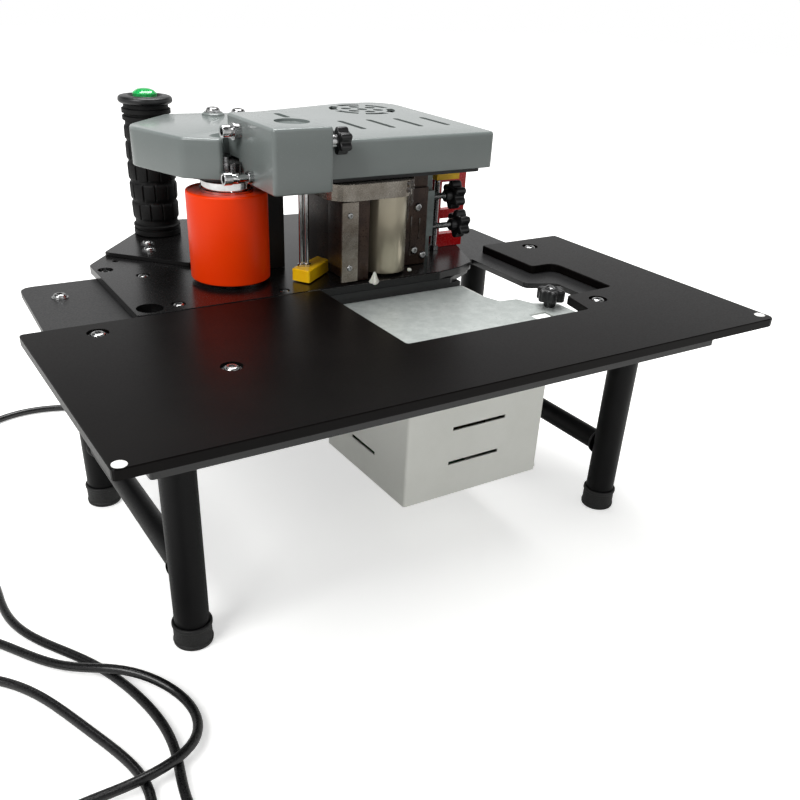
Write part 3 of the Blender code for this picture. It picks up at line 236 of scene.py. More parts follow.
CORD_RADIUS = 0.00325
LIE = CORD_RADIUS + 0.0001           # height of the lead's middle where it lies on the floor
HUMP = 3 * CORD_RADIUS + 0.0024      # and where it passes over itself
RISE = 0.0064
CORD_EXIT = (0.020, 0.2195, 0.085)
CORD_ROUTE = (
    # out of the strain relief, down to the floor behind the machine and round to its left
    CORD_EXIT, (0.020, 0.2365, 0.085), (0.020, 0.2545, 0.085), (0.013, 0.288, 0.070),
    (-0.008, 0.330, 0.028), (-0.048, 0.385, LIE), (-0.105, 0.448, LIE), (-0.165, 0.500, LIE),
    (-0.225, 0.518, LIE), (-0.283, 0.488, LIE), (-0.322, 0.415, LIE), (-0.352, 0.330, LIE),
    (-0.385, 0.250, LIE), (-0.391, 0.190, LIE), (-0.370, 0.143, LIE), (-0.346, 0.126, LIE),
    # first strand forwards, and a loop to the left
    (-0.326, 0.111, LIE), (-0.308, 0.085, LIE), (-0.293, 0.047, LIE), (-0.282, 0.019, LIE),
    (-0.272, -0.006, LIE), (-0.268, -0.024, LIE), (-0.271, -0.042, LIE), (-0.282, -0.064, LIE),
    (-0.305, -0.080, LIE), (-0.333, -0.076, LIE), (-0.350, -0.052, LIE), (-0.342, -0.025, LIE),
    (-0.317, -0.015, LIE),
    # second strand, over the two others and back, and a loop to the left
    (-0.291, -0.023, RISE), (-0.275, -0.027, HUMP), (-0.262, -0.026, HUMP),
    (-0.249, -0.022, HUMP), (-0.235, -0.013, RISE), (-0.225, 0.001, LIE), (-0.222, 0.017, LIE),
    (-0.226, 0.038, LIE), (-0.239, 0.057, 0.009), (-0.256, 0.071, 0.0155), (-0.272, 0.084, 0.009),
    (-0.288, 0.100, LIE), (-0.307, 0.127, LIE), (-0.320, 0.151, LIE), (-0.340, 0.173, LIE),
    (-0.363, 0.199, LIE), (-0.3755, 0.230, LIE), (-0.3730, 0.262, LIE), (-0.3465, 0.2820, LIE),
    (-0.317, 0.267, LIE), (-0.3070, 0.230, LIE), (-0.3110, 0.190, LIE),
    # third strand forwards, and on to the coil
    (-0.307, 0.158, LIE), (-0.290, 0.128, LIE), (-0.273, 0.104, LIE), (-0.260, 0.077, LIE),
    (-0.251, 0.046, LIE), (-0.245, 0.013, LIE), (-0.247, -0.013, LIE), (-0.253, -0.030, LIE),
    (-0.258, -0.044, LIE), (-0.257, -0.064, LIE), (-0.251, -0.085, LIE), (-0.2435, -0.104, LIE),
    (-0.2400, -0.1197, LIE),
)
COIL = Vector((-0.2815, -0.139, 0.0))
COIL_ENTRY = 0.0462                  # where the lead comes in, from the coil's middle
COIL_RINGS = (0.0394, 0.0326)        # middle of the outer and of the inner turns
COIL_LEVELS = (LIE, LIE + 0.0069)
PLUG_MIDDLE = Vector((-0.3063, -0.1651, 0.0241))
TURN_OUT = 0.028                     # radius of the lead's last bend, into the plug
CLIMB = PLUG_MIDDLE.z - COIL_LEVELS[1]


def eased(share):
    return share * share * (3 - 2 * share)


def coil_points():
    """Three turns, clockwise from above: outer and inner on the floor, inner and outer on those;
    the last one leaves the ring on a bend of its own and climbs into the plug."""
    points = []
    start = math.atan2(CORD_ROUTE[-1][1] - COIL.y, CORD_ROUTE[-1][0] - COIL.x)
    leave = math.radians(10)
    total = 3 + (start - leave) / math.tau
    count = round(total * 36)
    for i in range(1, count + 1):
        turns = total * i / count
        angle = start - math.tau * turns
        ring = COIL_RINGS[0]
        ring += (COIL_ENTRY - COIL_RINGS[0]) * (1 - eased(min(1.0, turns / 0.45)))
        ring += (COIL_RINGS[1] - COIL_RINGS[0]) * eased(min(1.0, max(0.0, (turns - 0.95) / 0.3)))
        ring += (COIL_RINGS[0] - COIL_RINGS[1]) * eased(min(1.0, max(0.0, (turns - 2.5) / 0.3)))
        lift = eased(min(1.0, max(0.0, (turns - 1.68) / 0.3)))
        height = COIL_LEVELS[0] + (COIL_LEVELS[1] - COIL_LEVELS[0]) * lift
        height += CLIMB * eased(max(0.0, 1 - (total - turns) / 0.2) / 2)
        points.append(COIL + Vector((ring * math.cos(angle), ring * math.sin(angle), height)))
    middle = COIL + (COIL_RINGS[0] - TURN_OUT) * Vector((math.cos(leave), math.sin(leave), 0.0))
    for i in range(1, 11):
        angle = leave - math.radians(100) * i / 10
        height = COIL_LEVELS[1] + CLIMB * eased(0.5 + i / 20)
        points.append(middle + Vector((TURN_OUT * math.cos(angle), TURN_OUT * math.sin(angle),
                                       height)))
    points.append(points[-1] + Vector((-0.004, 0.0, 0.0)))
    return points


def even_run(points, spacing, passes):
    """The same run with points at one spacing, its short wobbles taken out."""
    lengths = [0.0]
    for a, b in zip(points, points[1:]):
        lengths.append(lengths[-1] + (b - a).length)
    count = round(lengths[-1] / spacing)
    run = []
    at = 0
    for i in range(count + 1):
        want = lengths[-1] * i / count
        while at < len(points) - 2 and lengths[at + 1] < want:
            at += 1
        share = (want - lengths[at]) / (lengths[at + 1] - lengths[at])
        run.append(points[at].lerp(points[at + 1], min(1.0, share)))
    for _ in range(passes):
        inner = [(a + 2 * b + c) / 4 for a, b, c in zip(run[1:-3], run[2:-2], run[3:-1])]
        run = [run[0], run[1], *inner, run[-2], run[-1]]
    return run


def smooth_through(points, step):
    """Centripetal curve through the points, with this many parts between each two."""
    path = [Vector(p) for p in points]
    path = [2 * path[0] - path[1]] + path + [2 * path[-1] - path[-2]]
    fine = []
    for a, b, c, d in zip(path, path[1:], path[2:], path[3:]):
        knots = [0.0]
        for p, q in ((a, b), (b, c), (c, d)):
            knots.append(knots[-1] + math.sqrt((q - p).length))
        for i in range(step):
            t = knots[1] + (knots[2] - knots[1]) * i / step
            ab = a.lerp(b, (t - knots[0]) / (knots[1] - knots[0]))
            bc = b.lerp(c, (t - knots[1]) / (knots[2] - knots[1]))
            cd = c.lerp(d, (t - knots[2]) / (knots[3] - knots[2]))
            abc = ab.lerp(bc, (t - knots[0]) / (knots[2] - knots[0]))
            bcd = bc.lerp(cd, (t - knots[1]) / (knots[3] - knots[1]))
            point = abc.lerp(bcd, (t - knots[1]) / (knots[2] - knots[1]))
            point.z = max(point.z, LIE)
            fine.append(point)
    fine.append(path[-2])
    return fine


loose = even_run(smooth_through(CORD_ROUTE, 8), 0.0065, 20)
lead_points = loose + coil_points()
lead_curve = bpy.data.curves.new("mains_lead", "CURVE")
lead_curve.dimensions = "3D"
lead_curve.bevel_depth = CORD_RADIUS
lead_curve.bevel_resolution = 5
lead_curve.use_fill_caps = True
spline = lead_curve.splines.new("POLY")
spline.points.add(len(lead_points) - 1)
for target, point in zip(spline.points, lead_points):
    target.co = (*(point + PLAN), 1.0)
spline.use_smooth = True
# plasticised PVC, extruded: near black, with the soft shine that draws one long highlight
pvc = finish_of("extruded_pvc_sheath", "#0B0B0C", 0.30, patches=("#1A1A1B", 9.0, 0.5),
                grain=(1.2, 0.07), relief=0.03)
lead_curve.materials.append(pvc)
mains_lead = bpy.data.objects.new("mains_lead", lead_curve)
scene.collection.objects.link(mains_lead)
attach(mains_lead, "frame")
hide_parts("cord_tube", "cord_coil")

# soft hook-and-loop tie round the turns
TIE_WIDTH = 0.010


def band_round_coil(angle, width):
    """A closed strap round the coil's section, at an angle about its middle."""
    mesh = bmesh.new()
    half, tall, thick, steps = 0.0071, 0.0070, 0.0009, 24
    loops = []
    for side in (-width / 2, width / 2):
        for grow in (0.0, thick):
            loop = []
            for i in range(steps):
                t = math.tau * i / steps
                square = (abs(math.cos(t)) ** 4 + abs(math.sin(t)) ** 4) ** -0.25
                out = (half + grow) * square * math.cos(t)
                up = max(0.0004 - 0.0069, (tall + grow) * square * math.sin(t))
                loop.append(mesh.verts.new((0.0360 + out, side, 0.0069 + up)))
            loops.append(loop)
    for a, b in ((0, 1), (1, 3), (3, 2), (2, 0)):
        for i in range(steps):
            j = (i + 1) % steps
            mesh.faces.new((loops[a][i], loops[a][j], loops[b][j], loops[b][i]))
    bmesh.ops.recalc_face_normals(mesh, faces=mesh.faces)
    mesh.transform(Matrix.Translation(COIL) @ Matrix.Rotation(angle, 4, "Z"))
    return mesh


woven_strap = finish_of("woven_nylon_strap", "#141416", 0.85, patches=("#26262A", 1.4, 0.8),
                        grain=(0.5, 0.08), relief=0.25)
piece_of("coil_tie", band_round_coil(math.radians(75), TIE_WIDTH), woven_strap, "frame",
         "cord_sheath")


# ------------------------------------------------------------
# Mains plug: two round pins in a body moulded straight onto the lead, in the same soft PVC, with
# finger ribs on its sides and a tapered, notched strain relief.
def arc_points(centre, radius, start, end, steps):
    turns = [start + (end - start) * i / steps for i in range(steps + 1)]
    return [(centre[0] + radius * math.cos(t), centre[1] + radius * math.sin(t)) for t in turns]


def rounded(corners, steps=6):
    """Outline through (x, y, radius) corners, with each corner replaced by an arc."""
    outline = []
    for i, (x, y, radius) in enumerate(corners):
        here = Vector((x, y))
        into = (Vector(corners[i - 1][:2]) - here).normalized()
        out = (Vector(corners[(i + 1) % len(corners)][:2]) - here).normalized()
        half = into.angle(out) / 2
        if radius <= 0 or half > 1.56:
            outline.append((x, y))
            continue
        middle = here + (into + out).normalized() * (radius / math.sin(half))
        first = here + into * (radius / math.tan(half)) - middle
        turn = first.angle_signed(here + out * (radius / math.tan(half)) - middle)
        start = math.atan2(first.y, first.x)
        outline += arc_points(middle, radius, start, start - turn, steps)
    return outline


def panel(left, front, right, back, radius, steps=6):
    """Outline of a rectangle with rounded corners."""
    return rounded([(left, front, radius), (right, front, radius), (right, back, radius),
                    (left, back, radius)], steps)


def inset(outline, distance):
    """An anticlockwise outline moved inwards."""
    moved = []
    for i, point in enumerate(outline):
        here = Vector(point)
        before = (here - Vector(outline[i - 1])).normalized()
        after = (Vector(outline[(i + 1) % len(outline)]) - here).normalized()
        side = Vector((-before.y, before.x))
        middle = (side + Vector((-after.y, after.x))).normalized()
        moved.append(tuple(here + middle * (distance / max(0.3, middle.dot(side)))))
    return moved


def anticlockwise(outline):
    area = sum(a[0] * b[1] - b[0] * a[1] for a, b in zip(outline, outline[1:] + outline[:1]))
    return outline if area > 0 else outline[::-1]


def skin(rings):
    """A closed mesh from rings of points of one count, with its two ends capped."""
    mesh = bmesh.new()
    made = [[mesh.verts.new(point) for point in ring] for ring in rings]
    mesh.faces.new(made[0])
    for lower, upper in zip(made, made[1:]):
        for i, vert in enumerate(lower):
            j = (i + 1) % len(lower)
            mesh.faces.new((vert, lower[j], upper[j], upper[i]))
    mesh.faces.new(made[-1])
    bmesh.ops.recalc_face_normals(mesh, faces=mesh.faces)
    return mesh


def slab(outline, low, high, soft_top=0.0, soft_low=0.0, parts=4, hollow=None):
    """A block over an outline with rounded top and bottom edges. hollow = (wall, height of its
    ceiling) leaves the block open underneath."""
    outline = anticlockwise(outline)
    rings = []
    bottom = [(0.0, 0.0)] if not soft_low else [
        (soft_low * (1 - math.sin(a)), soft_low * (1 - math.cos(a)))
        for a in (math.pi / 2 * i / parts for i in range(parts + 1))]
    if hollow:
        wall, ceiling = hollow
        rings += [[(*p, ceiling) for p in inset(outline, wall)],
                  [(*p, low) for p in inset(outline, wall)]]
    rings += [[(*p, low + up) for p in inset(outline, away)] for away, up in bottom]
    top = [(0.0, 0.0)] if not soft_top else [
        (soft_top * (1 - math.cos(a)), soft_top * (1 - math.sin(a)))
        for a in (math.pi / 2 * i / parts for i in range(parts + 1))]
    rings += [[(*p, high - down) for p in inset(outline, away)] for away, down in top]
    return skin(rings)


def lathe(profile, steps=64, six=()):
    """A solid turned about Z from (radius, height) points. The rings whose number is in six are
    hexagons, as in a socket."""
    mesh = bmesh.new()
    rings = []
    for number, (radius, height) in enumerate(profile):
        if radius < 1e-6:
            rings.append([mesh.verts.new((0, 0, height))])
            continue
        ring = []
        for i in range(steps):
            t = math.tau * i / steps
            flat = math.cos(math.pi / 6) / math.cos(t % (math.pi / 3) - math.pi / 6)
            r = radius * (flat / math.cos(math.pi / 6) if number in six else 1.0)
            ring.append(mesh.verts.new((r * math.cos(t), r * math.sin(t), height)))
        rings.append(ring)
    for lower, upper in zip(rings, rings[1:] + rings[:1]):
        for i in range(steps):
            corners = [lower[i % len(lower)], lower[(i + 1) % len(lower)],
                       upper[(i + 1) % len(upper)], upper[i % len(upper)]]
            corners = [c for j, c in enumerate(corners) if c is not corners[j - 1]]
            if len(corners) > 2:
                mesh.faces.new(corners)
    bmesh.ops.recalc_face_normals(mesh, faces=mesh.faces)
    return mesh


def moved(mesh, x=0.0, y=0.0, z=0.0, turn=None):
    if turn is not None:
        mesh.transform(turn)
    mesh.transform(Matrix.Translation((x, y, z)))
    return mesh


def gathered(*meshes):
    """Several meshes as one."""
    whole = bmesh.new()
    for mesh in meshes:
        data = bpy.data.meshes.new("gathered")
        mesh.to_mesh(data)
        mesh.free()
        whole.from_mesh(data)
        bpy.data.meshes.remove(data)
    return whole


TO_RIGHT = Matrix.Rotation(math.pi / 2, 4, "Y")       # Z becomes +X
TO_LEFT = Matrix.Rotation(-math.pi / 2, 4, "Y")
TO_BACK = Matrix.Rotation(-math.pi / 2, 4, "X")       # Z becomes +Y


def plug_mesh():
    body = rounded([(-0.019, -0.012, 0.004), (0.008, -0.015, 0.012), (0.019, -0.009, 0.007),
                    (0.019, 0.009, 0.007), (0.008, 0.015, 0.012), (-0.019, 0.012, 0.004)])
    parts = [slab(body, -0.0098, 0.0100, 0.0035, 0.0035)]
    for x in (-0.006, -0.001, 0.004, 0.009):
        for side in (-1, 1):
            rib = slab(panel(-0.0011, -0.004, 0.0011, 0.004, 0.0008), -0.006, 0.006, 0.0008, 0.0008)
            parts.append(moved(rib, x, side * 0.0098))
    relief = [(0.0, 0.015), (0.0068, 0.015)]
    for i in range(6):
        start = 0.0185 + 0.0029 * i
        radius = 0.0064 - 0.0003 * i
        relief += [(radius, start), (radius, start + 0.0018), (radius - 0.0011, start + 0.0020),
                   (radius - 0.0011, start + 0.0028)]
    relief += [(0.0040, 0.0362), (0.0, 0.0362)]
    parts.append(moved(lathe(relief, 32), turn=TO_RIGHT))
    return gathered(*parts)


piece_of("mains_plug", plug_mesh(), pvc, "frame", "cord_sheath", "plug", place=PLUG_MIDDLE)
nickel = finish_of("nickel_plated_brass", "#C9C4B8", 0.22, 1.0, patches=("#A8A294", 3.0, 0.6),
                   grain=(0.8, 0.06))
pins = gathered(*(moved(lathe([(0.0, 0.012), (0.0024, 0.012), (0.0024, 0.0348), (0.0016, 0.0365),
                               (0.0, 0.0365)], 24), 0, side, 0, TO_LEFT)
                  for side in (-0.0095, 0.0095)))
piece_of("plug_pins", pins, nickel, "frame", "cord_sheath", place=PLUG_MIDDLE)


# ------------------------------------------------------------
# Four legs: 25 mm steel tube with a welded flange, powder coated black, each standing in a
# moulded rubber cap with a bead round its rim. The coat is a little uneven and scuffed low down.
LEG_RADIUS, LEG_TOP = 0.0125, 0.1909
LEG_PLACES = {f"{end}_{side}": (x, y) for side, x in (("left", -0.199), ("right", 0.199))
              for end, y in (("front", 0.090), ("back", 0.309))}
powder_black = finish_of("black_powder_coat", "#050506", 0.44, patches=("#0A0A0B", 35.0, 0.55),
                         grain=(0.9, 0.10), relief=0.06, Specular_IOR_Level=0.15)
rubber = finish_of("moulded_rubber", "#0B0B0B", 0.62, patches=("#161616", 12.0, 0.6),
                   grain=(1.1, 0.10), relief=0.08)
for corner, (x, y) in LEG_PLACES.items():
    tube = lathe(rounded([(0.0, 0.0036, 0), (LEG_RADIUS, 0.0036, 0),
                          (LEG_RADIUS, LEG_TOP - 0.0042, 0.001),
                          (0.0225, LEG_TOP - 0.0038, 0.0006), (0.0225, LEG_TOP, 0.0006),
                          (0.0, LEG_TOP, 0)], 3))
    piece_of(f"leg_tube_{corner}", tube, powder_black, "frame", "black_powder_coat",
             f"leg_{corner}", place=(x, y, 0))
    cap = lathe(rounded([(0.0, 0.0, 0), (0.0140, 0.0, 0.0012), (0.0145, 0.0032, 0.0006),
                         (0.0138, 0.0040, 0.0004), (0.0138, 0.0148, 0.0005),
                         (0.0145, 0.0156, 0.0008), (0.0145, 0.0184, 0.0009),
                         (0.0127, 0.0185, 0.0004), (0.0127, 0.0031, 0), (0.0, 0.0031, 0)], 3))
    piece_of(f"foot_{corner}", cap, rubber, "frame", "black_rubber", f"foot_cap_{corner}",
             place=(x, y, 0))

# Two side bars of 18 mm tube, welded between the front and back leg with a small fillet bead.
for side, x in (("left", -0.199), ("right", 0.199)):
    start, end = 0.090 + 0.0110, 0.309 - 0.0110
    bead = [(0.0, 0.0), (0.0112, 0.0), (0.0108, 0.0022), (0.0090, 0.0040)]
    run = bead + [(r, end - start - z) for r, z in reversed(bead)]
    bar = moved(lathe(run, 48), x, start, 0.060, TO_BACK)
    piece_of(f"side_tube_{side}", bar, powder_black, "frame", "black_powder_coat",
             f"side_bar_{side}")


# ------------------------------------------------------------
# Table: a black high-pressure laminate board with a fine satin grain and a sawn, slightly browner
# edge, on a painted steel plate. Button-head screws sit in its counterbores.
def coat(material, *names):
    """Gives CAD nodes whose shape is right their finish."""
    for name in names:
        for material_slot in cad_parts[name].material_slots:
            material_slot.material = material


def rod(radius, low, high, steps=40):
    return lathe([(0.0, low), (radius, low), (radius, high), (0.0, high)], steps)


def screw_mesh(head, height, socket, washer=0.0):
    """A button-head screw with a hexagon socket, its seat at z = 0."""
    profile = [(0.0, 0.0), (head, 0.0), (head, height * 0.25), (head * 0.93, height * 0.62),
               (head * 0.76, height * 0.90), (socket * 1.35, height), (socket, height * 0.98),
               (socket * 0.96, height * 0.25), (0.0, height * 0.25)]
    mesh = lathe(profile, 48, six=(6, 7))
    if washer:
        mesh = gathered(mesh, rod(washer, -0.0006, 0.0001, 48))
    return mesh


TABLE_TOP = 0.202
laminate = finish_of("black_laminate", "#080606", 0.32, patches=("#0D0B0A", 60.0, 0.6),
                     grain=(1.6, 0.04), relief=0.004, Specular_IOR_Level=0.08)
painted_steel = finish_of("painted_steel", "#0D0D0E", 0.40, patches=("#171717", 25.0, 0.5),
                          grain=(1.2, 0.08), relief=0.04)
coat(laminate, "table_board")
coat(painted_steel, "lower_plate")
zinc_bright = finish_of("zinc_plated_steel", "#B9BABB", 0.24, 1.0, patches=("#8D8A85", 2.2, 0.6),
                        grain=(0.7, 0.08), relief=0.02)


def fasteners(name, *meshes):
    """Bright zinc-plated screws or bushes that hold pieces of the frame."""
    piece_of(name, gathered(*meshes), zinc_bright, "frame", "bright_steel")


fasteners("table_screws", *(
    moved(screw_mesh(0.0052, 0.0024, 0.0021, 0.0068), x, y, TABLE_TOP - 0.0021)
    for x, y in ((-0.2127, 0.188), (-0.1552, 0.0958), (0.2098, 0.240), (0.1602, 0.0951))))
fasteners("plate_screw", moved(screw_mesh(0.0050, 0.0026, 0.0020, 0.0062), -0.213, 0.290, 0.1958))
# white plastic plugs in the front corners' fixing holes, worn at their rims
chalk = finish_of("white_nylon_plug", "#E9E9E6", 0.5, patches=("#C9C9C5", 2.5, 0.7),
                  grain=(0.8, 0.1))
corner_plugs = gathered(*(moved(lathe([(0.0, -0.002), (0.0042, -0.002), (0.0042, 0.0002),
                                       (0.0036, 0.0006), (0.0, 0.0007)], 32), x, y, TABLE_TOP)
                          for x, y in ((-0.2545, 0.0048), (0.2530, 0.0100))))
piece_of("corner_plugs", corner_plugs, chalk, "frame", "black_laminate")


# ------------------------------------------------------------
# Machine base: a thick aluminium plate, black anodised to a deep gloss, level with the table; the
# handle stands on a thinner plate on it. Both carry socket screws in counterbores.
anodised = finish_of("black_anodised_aluminium", "#0E0D0D", 0.26, 0.20,
                     patches=("#171718", 40.0, 0.5), grain=(0.6, 0.02), relief=0.0005,
                     Specular_IOR_Level=0.4)
coat(anodised, "machine_base_plate", "handle_plate")
heads = [moved(screw_mesh(0.0045, 0.0032, 0.0021), x, y, TABLE_TOP - drop) for x, y, drop in (
    (-0.168, 0.323, 0.0045), (-0.1456, 0.2975, 0.0030), (-0.144, 0.221, 0.0030))]
heads.append(moved(screw_mesh(0.0040, 0.0016, 0.0017), -0.0593, 0.2174, TABLE_TOP - 0.0020))
heads += [moved(screw_mesh(0.0042, 0.0019, 0.0018, 0.0058), x, y, TABLE_TOP + 0.0039)
          for x, y in ((-0.116, 0.373), (-0.1215, 0.353))]
fasteners("base_screws", *heads)

# a light metal strip along the plate's top front edge: a painted highlight where its chamfer
# catches the light
highlight_strip = skin([[(x, 0.20780, TABLE_TOP - 0.0006), (x, 0.20810, TABLE_TOP - 0.0003),
              (x, 0.20850, TABLE_TOP + 0.00008), (x, 0.20880, TABLE_TOP + 0.00002),
              (x, 0.20840, TABLE_TOP - 0.0006)] for x in
             [-0.100 + 0.001 * i for i in range(183)]])
for vert in highlight_strip.verts:
    vert.co.z -= 0.00016 * (1 + math.sin(61 * vert.co.x) * math.sin(143 * vert.co.x + 1))
# the strip's light metal colour, with darker patches along it, is painted highlight
edge_highlight_finish = finish_of("painted_edge_highlight", "#8F8A84", 0.32, 1.0, patches=("#35322F", 3.4, 0.8),
                      grain=(0.8, 0.08), relief=0.01)
piece_of("painted_highlight_strip", highlight_strip, edge_highlight_finish, "frame", "black_anodised_aluminium")


# ------------------------------------------------------------
# Tray under the opening: galvanised sheet with a faint spangle and scratches, on a black spacer
# frame, clamped by a star knob.
galvanised = finish_of("galvanised_sheet", "#B0B6B3", 0.36, 0.35, patches=("#C2C7C4", 7.0, 0.9),
                       grain=(1.2, 0.10), relief=0.03)
spacer_black = finish_of("black_fibre_spacer", "#141414", 0.6, patches=("#202020", 8.0, 0.6),
                         grain=(0.8, 0.10), relief=0.05)
coat(galvanised, "tray")
coat(spacer_black, "spacer_frame")


def waved(radius, dip, waves, parts, sharp=1.0):
    """A round outline with waves cut into it, of this depth and with this many parts each."""
    outline = []
    for i in range(waves * parts):
        t = math.tau * i / (waves * parts)
        out = radius - dip * (0.5 - 0.5 * math.cos(waves * t)) ** sharp
        outline.append((out * math.cos(t), out * math.sin(t)))
    return outline


def star_knob(radius, dip, thick, boss, boss_radius):
    """A moulded hand knob: rounded lobes, a hollow crown and a boss on its underside."""
    body = slab(waved(radius, dip, 6, 16, 1.4), 0.0, thick, 0.0022, 0.0014)
    crown = lathe([(0.0, thick - 0.001), (radius * 0.50, thick - 0.001),
                   (radius * 0.46, thick + 0.0004), (radius * 0.40, thick + 0.0006),
                   (radius * 0.36, thick - 0.0002), (0.0, thick - 0.0004)], 40)
    foot = lathe([(0.0, -boss), (boss_radius * 0.9, -boss), (boss_radius, -boss + 0.001),
                  (boss_radius * 1.1, 0.0005), (0.0, 0.0005)], 40)
    return gathered(body, crown, foot)


def threaded_rod(radius, low, high, pitch=0.0008):
    """A rod with a rolled thread, drawn as close rings."""
    profile = [(0.0, low), (radius * 0.80, low)]
    count = int((high - low) / pitch)
    for i in range(count):
        z = low + pitch * i
        profile += [(radius * 0.84, z + pitch * 0.15), (radius, z + pitch * 0.5)]
    return lathe(profile + [(radius * 0.84, high), (0.0, high)], 28)


knob_black = finish_of("moulded_black_abs", "#0E0E0F", 0.36, patches=("#1C1C1D", 5.0, 0.5),
                       grain=(0.9, 0.08), relief=0.03)
TRAY_KNOB = (0.144, 0.133, 0.1915)
piece_of("tray_star", star_knob(0.012, 0.0030, 0.010, boss=0.005, boss_radius=0.005), knob_black,
         "tray_knob", "black_plastic", "tray_knob", place=TRAY_KNOB)
piece_of("tray_stud", gathered(threaded_rod(0.0022, -0.0095, 0.0),
                               moved(screw_mesh(0.0030, 0.0012, 0.0013), 0, 0, 0.0098)),
         zinc_bright, "tray_knob", "bright_steel", place=TRAY_KNOB)


# ------------------------------------------------------------
# Control box: folded 1.2 mm steel sheet, powder coated warm grey, hung under the table, with slots
# cut for cooling. Its lid's lip shows as a fine seam, and pop rivets hold it.
BOX_RIGHT, BOX_FRONT = 0.1125, 0.090
grey_powder = finish_of("grey_powder_coat", "#DEDFD9", 0.40, patches=("#D4D5CE", 45.0, 0.6),
                        grain=(1.3, 0.07), relief=0.05)
coat(grey_powder, "control_box")
lip = gathered(
    slab(panel(BOX_RIGHT + 0.0001, BOX_FRONT + 0.0012, BOX_RIGHT + 0.0011, 0.2133, 0.0003, 2),
         0.0610, 0.0640, 0.0004, 0.0004),
    *(moved(lathe([(0.0, 0.0), (0.0026, 0.0), (0.0022, 0.0007), (0.0012, 0.0010), (0.0, 0.0007)],
                  24), BOX_RIGHT + 0.0002, y, 0.168, TO_RIGHT) for y in (0.098, 0.206)))
piece_of("box_lip", lip, grey_powder, "frame", "grey_powder_coat")

# Inside it: the speed controller's board, in green solder resist, and a small transformer.
solder_resist = finish_of("green_solder_resist", "#0F4A2A", 0.35, patches=("#1B6A3C", 3.0, 0.7),
                          grain=(1.0, 0.08), relief=0.05)
lacquered_iron = finish_of("lacquered_iron", "#6B5A48", 0.45, 0.5, patches=("#4A3D30", 4.0, 0.7),
                           grain=(0.8, 0.10), relief=0.05)
coat(solder_resist, "circuit_board")
coat(lacquered_iron, "transformer")


# ------------------------------------------------------------
# Controls on the box's right side: a red rocker in a black frame and a ribbed speed knob on its
# spindle. Behind, the lead's strain relief: a flanged rubber sleeve with flexing notches.
SWITCH = Vector((BOX_RIGHT, 0.188, 0.150))
red_abs = finish_of("moulded_red_abs", "#B0120E", 0.28, patches=("#9A0E0B", 4.0, 0.5),
                    grain=(0.9, 0.06), relief=0.02)
coat(red_abs, "rocker_switch")
rim = slab(panel(-0.0085, -0.0115, 0.0085, 0.0115, 0.0015), 0.0002, 0.0018, 0.0006)
inner = slab(panel(-0.0066, -0.0096, 0.0066, 0.0096, 0.0006), -0.001, 0.003)


def subtracted(mesh, *cutters):
    """The mesh with the cutters taken out of it."""
    holder = bpy.data.objects.new("whole", bpy.data.meshes.new("whole"))
    mesh.to_mesh(holder.data)
    mesh.free()
    scene.collection.objects.link(holder)
    helpers = []
    for shape in cutters:
        helper = bpy.data.objects.new("cutter", bpy.data.meshes.new("cutter"))
        shape.to_mesh(helper.data)
        shape.free()
        scene.collection.objects.link(helper)
        modifier = holder.modifiers.new("cut", "BOOLEAN")
        modifier.object = helper
        modifier.operation = "DIFFERENCE"
        modifier.solver = "EXACT"
        helpers.append(helper)
    bpy.context.view_layer.update()
    done = bpy.data.meshes.new_from_object(
        holder.evaluated_get(bpy.context.evaluated_depsgraph_get()))
    for helper in [holder, *helpers]:
        bpy.data.objects.remove(helper)
    result = bmesh.new()
    result.from_mesh(done)
    bpy.data.meshes.remove(done)
    bmesh.ops.remove_doubles(result, verts=result.verts, dist=1e-6)
    return result


switch_frame = moved(subtracted(rim, inner), turn=Matrix.Rotation(math.pi / 2, 4, "X"))
switch_frame = moved(switch_frame, turn=Matrix.Rotation(math.pi / 2, 4, "Z"))
piece_of("switch_frame", switch_frame, knob_black, "frame", "black_plastic", place=SWITCH)
dial = gathered(slab(waved(0.0110, 0.0007, 24, 6), 0.0003, 0.0150, 0.0014),
                rod(0.003, -0.012, 0.0006, 24),
                moved(slab([(-0.0005, 0.002), (0.0005, 0.002), (0.0005, 0.0095),
                            (-0.0005, 0.0095)], 0.0148, 0.0152)))
piece_of("speed_dial", moved(dial, turn=TO_RIGHT), knob_black, "speed_knob", "black_plastic",
         "speed_knob", place=(BOX_RIGHT, 0.125, 0.150))
sleeve = [(0.0036, -0.004), (0.006, -0.004), (0.006, 0.0003), (0.0095, 0.0003), (0.0095, 0.0064),
          (0.0088, 0.0072), (0.0066, 0.0078)]
for i in range(6):
    start = 0.0088 + 0.0034 * i
    radius = 0.0062 - 0.00028 * i
    sleeve += [(radius, start), (radius, start + 0.0021), (radius - 0.0010, start + 0.0023),
               (radius - 0.0010, start + 0.0032)]
sleeve += [(0.0044, 0.0298), (0.0036, 0.0300)]
piece_of("strain_relief", moved(lathe(sleeve, 40), turn=TO_BACK), rubber, "frame",
         "black_plastic", "cable_gland", place=(0.020, 0.2145, 0.085))


# ------------------------------------------------------------
# Handle: a plastic tube under a soft rubber grip. The grip bulges a little, is cut into blocks by
# grooves round it and along it, and has beads at its foot and under its flared bezel.
HANDLE = (-0.0955, 0.405, 0.0)
GRIP_LOW = TABLE_TOP + 0.0036
GRIP_TOP = GRIP_LOW + 0.108
grip_rubber = finish_of("soft_grip_rubber", "#060606", 0.62, patches=("#0E0E0E", 6.0, 0.7),
                        grain=(0.7, 0.12), relief=0.10, Specular_IOR_Level=0.25)
core_black = finish_of("black_tube_abs", "#101011", 0.45, patches=("#1B1B1C", 6.0, 0.5),
                       grain=(1.0, 0.08), relief=0.03)
coat(core_black, "handle_core")


